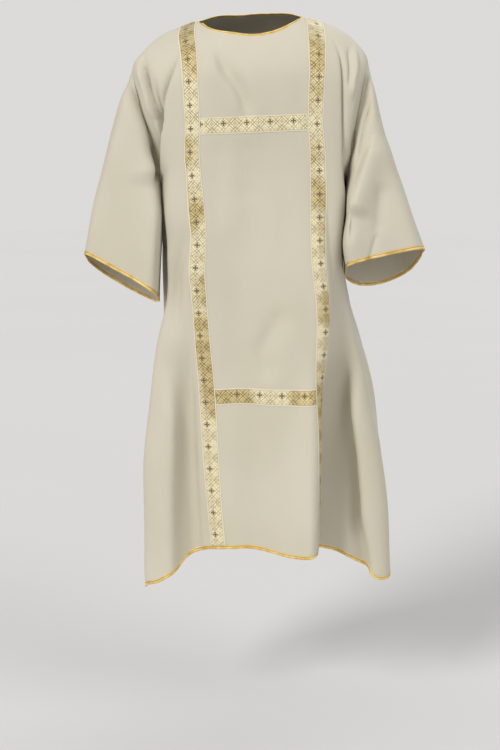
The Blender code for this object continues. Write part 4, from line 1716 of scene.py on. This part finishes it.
@dataclass
class Garment:
    """The cloth of the body and the sleeves, worked out together so that their seams agree."""

    cut: Cut
    armhole_rows: int = 76
    skirt_row: float = 0.0048
    inner_columns: int = 26
    galloon_columns: int = 8
    outer_columns: int = 56
    sleeve_rows: int = 96
    sleeve_end: float = 0.98
    sleeve_length: float = 0.44
    neck_eases_by: float = 0.16
    even_share: float = 0.08
    downs: Points = field(init=False)
    reaches: Points = field(init=False)
    grids: dict[str, ClothGrid] = field(init=False)

    def __post_init__(self) -> None:
        """Lay out the rows and columns, and build the cloth."""
        self.downs = self._row_levels()
        self.reaches = self._column_reaches()
        body = BodyForm(self.cut)
        front, back = self._panel(body, Side.FRONT), self._panel(body, Side.BACK)
        outside_neck = np.abs(self.reaches[0]) >= self.cut.neck_reach - CLOSE
        back.points[0, outside_neck] = front.points[0, outside_neck]
        below = self.downs >= self.cut.underarm_down - CLOSE
        for column in (0, -1):
            back.points[below, column] = front.points[below, column]
        self.grids = {"front": front, "back": back}
        for hand in Hand:
            self.grids[f"sleeve_{hand.word}"] = self._sleeve(hand, front, back)
        Creaser().lay_in(list(self.grids.values()))

    def _row_levels(self) -> Points:
        """Spread the rows evenly over the cloth, with rows on the galloons' edges.

        Returns:
            Levels from the shoulder to the hem's binding.
        """
        cut = self.cut
        t = np.linspace(0.0, 1.0, self.armhole_rows)
        closer = (1.0 - self.even_share) * (1 - np.cos(math.pi * t)) / 2
        armhole = cut.underarm_down * (self.even_share * t + closer)
        end = cut.hem_down - cut.binding_width - cut.seam_gap
        count = round((end - cut.underarm_down) / self.skirt_row)
        skirt = np.linspace(cut.underarm_down, end, count + 1)[1:]
        rows = np.concatenate([armhole, skirt])
        for middle in (cut.chest_galloon_down, cut.knee_galloon_down):
            for level in (middle - cut.galloon_width / 2, middle + cut.galloon_width / 2):
                rows[int(np.argmin(np.abs(rows - level)))] = level
        return rows

    def _column_reaches(self) -> Points:
        """Spread the columns over each row, with columns on the galloons' edges.

        Returns:
            A grid of reaches, a row to a level.
        """
        cut = self.cut
        edge = cut.neck_reach + cut.galloon_width
        inner = np.linspace(0.0, cut.neck_reach, self.inner_columns + 1)
        galloon = np.linspace(cut.neck_reach, edge, self.galloon_columns + 1)[1:]
        share = np.linspace(0.0, 1.0, self.outer_columns + 1)[1:]
        reach = cut.panel_reach(self.downs)[:, None]
        outer = edge + (reach - edge) * share[None, :]
        fixed = np.tile(np.concatenate([inner, galloon]), (len(self.downs), 1))
        half = np.concatenate([fixed, outer], axis=1)
        return np.concatenate([-half[:, :0:-1], half], axis=1)

    def _panel(self, body: BodyForm, side: Side) -> ClothGrid:
        """Build the front or the back.

        Args:
            body: The body's shape.
            side: Which of them.

        Returns:
            Its grid.
        """
        cut = self.cut
        down = np.broadcast_to(self.downs[:, None], self.reaches.shape)
        drop = cut.front_neck_drop if side is Side.FRONT else cut.back_neck_drop
        dip = drop * np.clip(1.0 - (self.reaches / cut.neck_reach) ** 2, 0.0, 1.0)
        lowered = down + dip * (1.0 - smooth_step(down, 0.0, self.neck_eases_by))
        points = body.points(side, self.reaches, lowered)
        reach = cut.panel_reach(down)
        to_edge = reach - np.abs(self.reaches)
        to_shoulder = np.where(np.abs(self.reaches) >= cut.neck_reach, down, 1.0)
        nearest = np.minimum(to_edge, to_shoulder)
        seam_along = np.where(to_edge < to_shoulder, down, np.abs(self.reaches))
        lay = np.stack([self.reaches, down], axis=-1)
        return ClothGrid(points, False, lay, np.stack([nearest, seam_along], axis=-1), to_edge, Cloth.BODY)

    def _sleeve(self, hand: Hand, front: ClothGrid, back: ClothGrid) -> ClothGrid:
        """Build a sleeve, its first ring the very points of the armhole.

        Args:
            hand: Which sleeve.
            front: The front's grid.
            back: The back's grid.

        Returns:
            Its grid.
        """
        downs = self.downs[self.downs <= self.cut.underarm_down + CLOSE]
        along = np.linspace(0.0, self.sleeve_end, self.sleeve_rows)
        points = SleeveForm(self.cut).points(hand, along, downs)
        column = 0 if hand is Hand.RIGHT else -1
        last = len(downs)
        points[0, :last] = front.points[:last, column]
        points[0, last:] = back.points[last - 2 : 0 : -1, column]
        around = np.linalg.norm(np.roll(points, -1, axis=1) - points, axis=-1)
        around = np.concatenate([np.zeros((len(along), 1)), np.cumsum(around, axis=1)], axis=1)
        level = np.linspace(0.0, self.sleeve_length, self.sleeve_rows)[:, None]
        lay = np.stack(np.broadcast_arrays(around, level), axis=-1)
        turn = around[:, -1:]
        to_underarm = np.abs(around - around[:, last - 1 : last])
        to_underarm = np.minimum(to_underarm, turn - to_underarm)
        nearest = np.minimum(np.broadcast_to(level, around.shape), to_underarm)
        seam = np.stack([nearest, np.where(to_underarm < level, level, around)], axis=-1)
        from_armhole = np.broadcast_to(level, points.shape[:2])
        return ClothGrid(points, True, lay, seam, from_armhole, Cloth.SLEEVE)

    def layers(self, grid: ClothGrid, points: Points) -> tuple[Surface, Surface]:
        """Give cloth its thickness.

        Args:
            grid: The piece's grid.
            points: Its points, pulled in at their seams.

        Returns:
            The inner surface and the outer one, leaned.
        """
        half = grid.normals * self.cut.cloth_wall / 2
        return tuple(
            Surface(self.cut.leaned(points + sign * half), grid.lay, grid.seam) for sign in (-1.0, 1.0)
        )


@dataclass
class Panel:
    """The front or the back: one trapezoid of cloth that widens to its hem."""

    name: str
    garment: Garment
    flat_width: float = 0.83
    flat_length: float = 1.10
    flat_area: float = 0.66
    sewn_edges: tuple[str, ...] = ("first_row", "first_column", "last_column")

    def build(self) -> None:
        """Cut the piece from the garment's grid and sew it in."""
        grid = self.garment.grids[self.name]
        points = grid.pulled_in(self.sewn_edges, self.garment.cut.seam_gap / 2)
        inner, outer = self.garment.layers(grid, points)
        piece = closed_wall(f"sewn_{self.name}", inner, outer, closed=grid.closed)
        settle(piece, GarmentCloth())


@dataclass
class Sleeve(Panel):
    """A wide sleeve, sewn along the underarm and set into its armhole."""

    flat_width: float = 0.60
    flat_length: float = 0.40
    flat_area: float = 0.178
    sewn_edges: tuple[str, ...] = ("first_row",)


@dataclass
class Galloon:
    """A strip of gold braid sewn flat on the front."""

    name: str
    garment: Garment
    rows: slice
    columns: slice
    upright: bool
    pull: tuple[str, ...]
    edge_share: float = 0.22
    edge_wall: float = 0.55

    @property
    def run(self) -> int:
        """The axis of the front's grid that the strip runs along."""
        return 0 if self.upright else 1

    def _strip(self) -> ClothGrid:
        """Take the part of the front that the strip covers.

        Returns:
            Its grid, with the front's own normals.
        """
        front = self.garment.grids["front"]
        found = {
            name: getattr(front, name)[self.rows, self.columns]
            for name in ("points", "lay", "seam", "from_armhole", "normals")
        }
        return ClothGrid(closed=False, cloth=Cloth.BODY, **found)

    def _layout(self, strip: ClothGrid, points: Points) -> Points:
        """Measure each place across the strip, and along it square to its own middle line.

        Args:
            strip: The part of the front under it.
            points: Its points, pulled in at its ends.

        Returns:
            Metres across and along.
        """
        reach, down = strip.lay[..., 0], strip.lay[..., 1]
        if self.upright:
            middle = math.copysign(self.garment.cut.galloon_reach, float(reach.mean()))
            across = (middle - reach) * math.copysign(1.0, middle)
            spine = points[:, points.shape[1] // 2][:, None]
        else:
            across = down - (float(down.min()) + float(down.max())) / 2
            spine = points[points.shape[0] // 2][None]
        steps = np.linalg.norm(np.diff(spine, axis=self.run), axis=-1)
        start = np.zeros_like(steps.take([0], axis=self.run))
        travelled = np.concatenate([start, np.cumsum(steps, axis=self.run)], axis=self.run)
        heading = unit(np.gradient(spine, axis=self.run))
        along = travelled + ((points - spine) * heading).sum(axis=-1)
        return np.stack([across, along], axis=-1)

    def build(self) -> None:
        """Lay the strip on the front's own points and sew it down."""
        cut = self.garment.cut
        strip = self._strip()
        points = strip.pulled_in(self.pull, cut.seam_gap)
        lay = self._layout(strip, points)
        low = cut.cloth_wall / 2 + cut.seam_gap
        half_width = cut.galloon_width / 2
        full = smooth_step(half_width - np.abs(lay[..., 0]), 0.0, half_width * self.edge_share)
        high = low + cut.galloon_wall * (self.edge_wall + (1.0 - self.edge_wall) * full)
        inner, outer = (
            Surface(cut.leaned(points + strip.normals * height), lay, strip.seam)
            for height in (low, high[..., None])
        )
        piece = closed_wall(f"sewn_{self.name}", inner, outer, closed=False)
        settle(piece, GalloonBraid())


@dataclass
class Binding:
    """A satin band that carries on the cloth past an edge, with a fine ridge above a full one."""

    name: str
    garment: Garment
    edge: Points
    before: Points
    normals: Points
    count: int
    flat_width: float = 0.010

    def _profile(self) -> Points:
        """Draw the band across: distances from the cloth's edge and out from its middle.

        Returns:
            A closed line of points.
        """
        width, half = self.garment.cut.binding_width, self.garment.cut.binding_wall / 2
        outside = (
            (0.00, 0.35), (0.05, 0.62), (0.12, 0.72), (0.19, 0.62), (0.25, 0.30), (0.30, 0.34),
            (0.38, 0.72), (0.50, 0.96), (0.63, 1.00), (0.76, 0.92), (0.88, 0.66), (0.96, 0.30),
        )
        inside = (
            (1.00, -0.10), (0.95, -0.50), (0.82, -0.72), (0.50, -0.76), (0.22, -0.70), (0.05, -0.55),
            (0.00, -0.20),
        )
        return np.array([(a * width, t * half) for a, t in outside + inside])

    def build(self) -> None:
        """Sweep the band's profile round the edge and sew it on."""
        cut = self.garment.cut
        ring = np.roll(self.edge, -1, axis=0) - np.roll(self.edge, 1, axis=0)
        away = unit(np.cross(ring, self.normals))
        if np.sum(away * (self.edge - self.before)) < 0.0:
            away = -away
        length = way_along(np.concatenate([self.edge, self.edge[:1]]))
        at = np.linspace(0.0, length[-1], self.count + 1)[:-1]

        def spread(values: Points) -> Points:
            """Read values round the ring at even spacing."""
            looped = np.concatenate([values, values[:1]])
            return np.stack([np.interp(at, length, looped[:, k]) for k in range(3)], axis=-1)

        edge, away, out = spread(self.edge), unit(spread(away)), spread(self.normals)
        out = unit(out - away * np.sum(out * away, axis=-1, keepdims=True))
        profile = self._profile()
        around = (
            edge[:, None]
            + away[:, None] * (profile[None, :, 0, None] + cut.seam_gap)
            + out[:, None] * profile[None, :, 1, None]
        )
        self._solid(cut.leaned(around), profile, at, float(length[-1]))

    def _solid(self, around: Points, profile: Points, at: Points, length: float) -> None:
        """Make the swept band into a piece.

        Args:
            around: Points of each section, a row to a place round the edge.
            profile: The section, for its distances across.
            at: How far round each row lies.
            length: The whole way round.
        """
        rows, columns = around.shape[:2]
        i, j = np.meshgrid(np.arange(rows), np.arange(columns), indexing="ij")
        k, m = (i + 1) % rows, (j + 1) % columns
        faces = [row * columns + column for row, column in ((i, j), (i, m), (k, m), (k, j))]
        faces = np.stack(faces, axis=-1).reshape(-1, 4)
        along = np.concatenate([at, [length]])
        corners = ((j, i), (m, i), (m, i + 1), (j, i + 1))
        lay = [np.stack([profile[column, 0], along[row]], axis=-1) for column, row in corners]
        lay = np.stack(lay, axis=-2).reshape(-1, 4, 2)
        points = around.reshape(-1, 3)
        corners = points[faces]
        middle = np.repeat(around.mean(axis=1), columns, axis=0)
        if np.sum(quad_normals(corners) * (corners.mean(axis=1) - middle)) < 0.0:
            faces, lay = faces[:, ::-1], lay[:, ::-1]
        piece = quad_piece(f"sewn_{self.name}", points, faces, {"Lay": lay})
        settle(piece, BindingSatin())


@dataclass
class Trimmings:
    """All the galloons and bindings, placed by the garment's own rows and columns."""

    garment: Garment
    neck_count: int = 240
    hem_count: int = 520
    cuff_count: int = 220

    def _span(self, places: Points, middle: float, half: float) -> slice:
        """The rows or columns that lie within half a width of a middle."""
        first, last = (int(np.argmin(np.abs(places - at))) for at in (middle - half, middle + half))
        return slice(first, last + 1)

    def galloons(self) -> list[Galloon]:
        """Place the two upright galloons and the two that cross between them.

        Returns:
            The four galloons.
        """
        cut, reaches = self.garment.cut, self.garment.reaches[0]
        half = cut.galloon_width / 2
        found = []
        for hand in Hand:
            columns = self._span(reaches, hand.value * cut.galloon_reach, half)
            place = (slice(None), columns, True, ("first_row",))
            found.append(Galloon(f"galloon_{hand.word}", self.garment, *place))
        across = self._span(reaches, 0.0, cut.neck_reach)
        for word, down in (("chest", cut.chest_galloon_down), ("knee", cut.knee_galloon_down)):
            rows = self._span(self.garment.downs, down, half)
            place = (rows, across, False, ("first_column", "last_column"))
            found.append(Galloon(f"galloon_{word}", self.garment, *place))
        return found

    def bindings(self) -> list[Binding]:
        """Place the bindings of the neck, the cuffs and the hem.

        Returns:
            The four bindings.
        """
        grids = self.garment.grids
        front, back = grids["front"], grids["back"]
        neck = self._span(self.garment.reaches[0], 0.0, self.garment.cut.neck_reach)
        behind = slice(neck.start + 1, neck.stop - 1)

        def ring(values: str, row: int, columns: slice, others: slice) -> Points:
            """Join a row of the front to the same row of the back, as a ring."""
            ahead, around = getattr(front, values)[row, columns], getattr(back, values)[row, others]
            return np.concatenate([ahead, around[::-1]])

        found = []
        whole, inside = slice(None), slice(1, -1)
        for name, row, before, columns, others, count in (
            ("neck_binding", 0, 1, neck, behind, self.neck_count),
            ("hem_binding", -1, -2, whole, inside, self.hem_count),
        ):
            rings = (("points", row), ("points", before), ("normals", row))
            rings = [ring(values, at, columns, others) for values, at in rings]
            found.append(Binding(name, self.garment, *rings, count))
        for hand in Hand:
            grid = grids[f"sleeve_{hand.word}"]
            rings = (grid.points[-1], grid.points[-2], grid.normals[-1])
            found.append(Binding(f"cuff_binding_{hand.word}", self.garment, *rings, self.cuff_count))
        return found


@dataclass
class Studio:
    """The floor, the lights and the camera."""

    floor_z: float = -1.47
    floor_rings: tuple[float, ...] = (0.5, 2.0, 5.0, 14.0)
    camera_at: tuple[float, float, float] = (0.0, -3.5, -0.17)
    camera_tilt: float = 80.78
    lens: float = 80.16
    sensor: float = 36.0
    shift: float = 0.5 / 750.0
    floor_points: int = 96
    air: Colour = (0.50, 0.50, 0.505)
    backdrop: Colour = (0.715, 0.705, 0.690)

    def floor(self) -> None:
        """Lay a wide round floor under the garment."""
        count = self.floor_points
        mesh = bpy.data.meshes.new("studio_floor")
        points = [(0.0, 0.0, self.floor_z)]
        for radius in self.floor_rings:
            for k in range(count):
                turn = 2 * math.pi * k / count
                points.append((radius * math.cos(turn), radius * math.sin(turn), self.floor_z))
        faces = [(0, 1 + k, 1 + (k + 1) % count) for k in range(count)]
        for r in range(len(self.floor_rings) - 1):
            low, high = 1 + r * count, 1 + (r + 1) * count
            for k in range(count):
                n = (k + 1) % count
                faces.append((low + k, high + k, high + n, low + n))
        mesh.from_pydata(points, [], faces)
        mesh.update()
        floor = bpy.data.objects.new("studio_floor", mesh)
        bpy.context.scene.collection.objects.link(floor)
        floor.data.materials.append(StudioFloor().material())

    def sun(
        self, name: str, towards: tuple[float, float, float], soft: float, power: float, tint: Colour
    ) -> None:
        """Hang a broad, soft light that shines the same way everywhere.

        Args:
            name: The light's name.
            towards: The way that it shines.
            soft: The angle that it fills, in degrees.
            power: Its strength.
            tint: Its colour.
        """
        data = bpy.data.lights.new(name, "SUN")
        data.angle = math.radians(soft)
        data.energy = power
        data.color = tint
        light = bpy.data.objects.new(name, data)
        x, y, z = towards
        light.rotation_euler = (math.atan2(math.hypot(x, y), -z), 0.0, math.atan2(-x, y))
        light.location = (-x * 3, -y * 3, -z * 3)
        bpy.context.scene.collection.objects.link(light)

    def lights(self) -> None:
        """Light the garment from the camera's left and above, with a weak fill."""
        self.sun("key", (0.50, 0.68, -0.54), 20.0, 2.15, (1.0, 0.988, 0.97))
        self.sun("fill", (-0.62, 0.5, -0.6), 40.0, 0.80, (0.98, 0.99, 1.0))
        self.sun("back_soft", (-0.6, -1.0, -0.7), 50.0, 0.8, (1.0, 1.0, 1.0))
        world = bpy.data.worlds.new("studio_air")
        world.use_nodes = True
        tree = Tree(world.node_tree.nodes, world.node_tree.links)
        sky = world.node_tree.nodes["Background"]
        seen = tree.nodes.new("ShaderNodeLightPath").outputs["Is Camera Ray"]
        tree.links.new(tree.blend(seen, self.air, self.backdrop), sky.inputs["Color"])
        sky.inputs["Strength"].default_value = 1.0
        bpy.context.scene.world = world

    def camera(self) -> None:
        """Stand the camera in front of the wearer, a little above the middle of the garment."""
        data = bpy.data.cameras.new("camera")
        data.lens = self.lens
        data.sensor_width = self.sensor
        data.shift_x = self.shift
        camera = bpy.data.objects.new("camera", data)
        camera.location = self.camera_at
        camera.rotation_euler = (math.radians(self.camera_tilt), 0.0, 0.0)
        bpy.context.scene.collection.objects.link(camera)
        bpy.context.scene.camera = camera


def main() -> None:
    """Build the garment on its frame, and the studio round it."""
    logging.basicConfig(level=logging.INFO, format="%(name)s: %(message)s")
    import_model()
    bpy.context.scene.view_settings.view_transform = "Standard"
    studio = Studio()
    studio.camera()
    studio.lights()
    studio.floor()
    garment = Garment(CUT)
    for name in ("front", "back"):
        Panel(name, garment).build()
    for hand in Hand:
        Sleeve(f"sleeve_{hand.word}", garment).build()
    trimmings = Trimmings(garment)
    for galloon in trimmings.galloons():
        galloon.build()
    for binding in trimmings.bindings():
        binding.build()


if __name__ == "__main__":
    main()
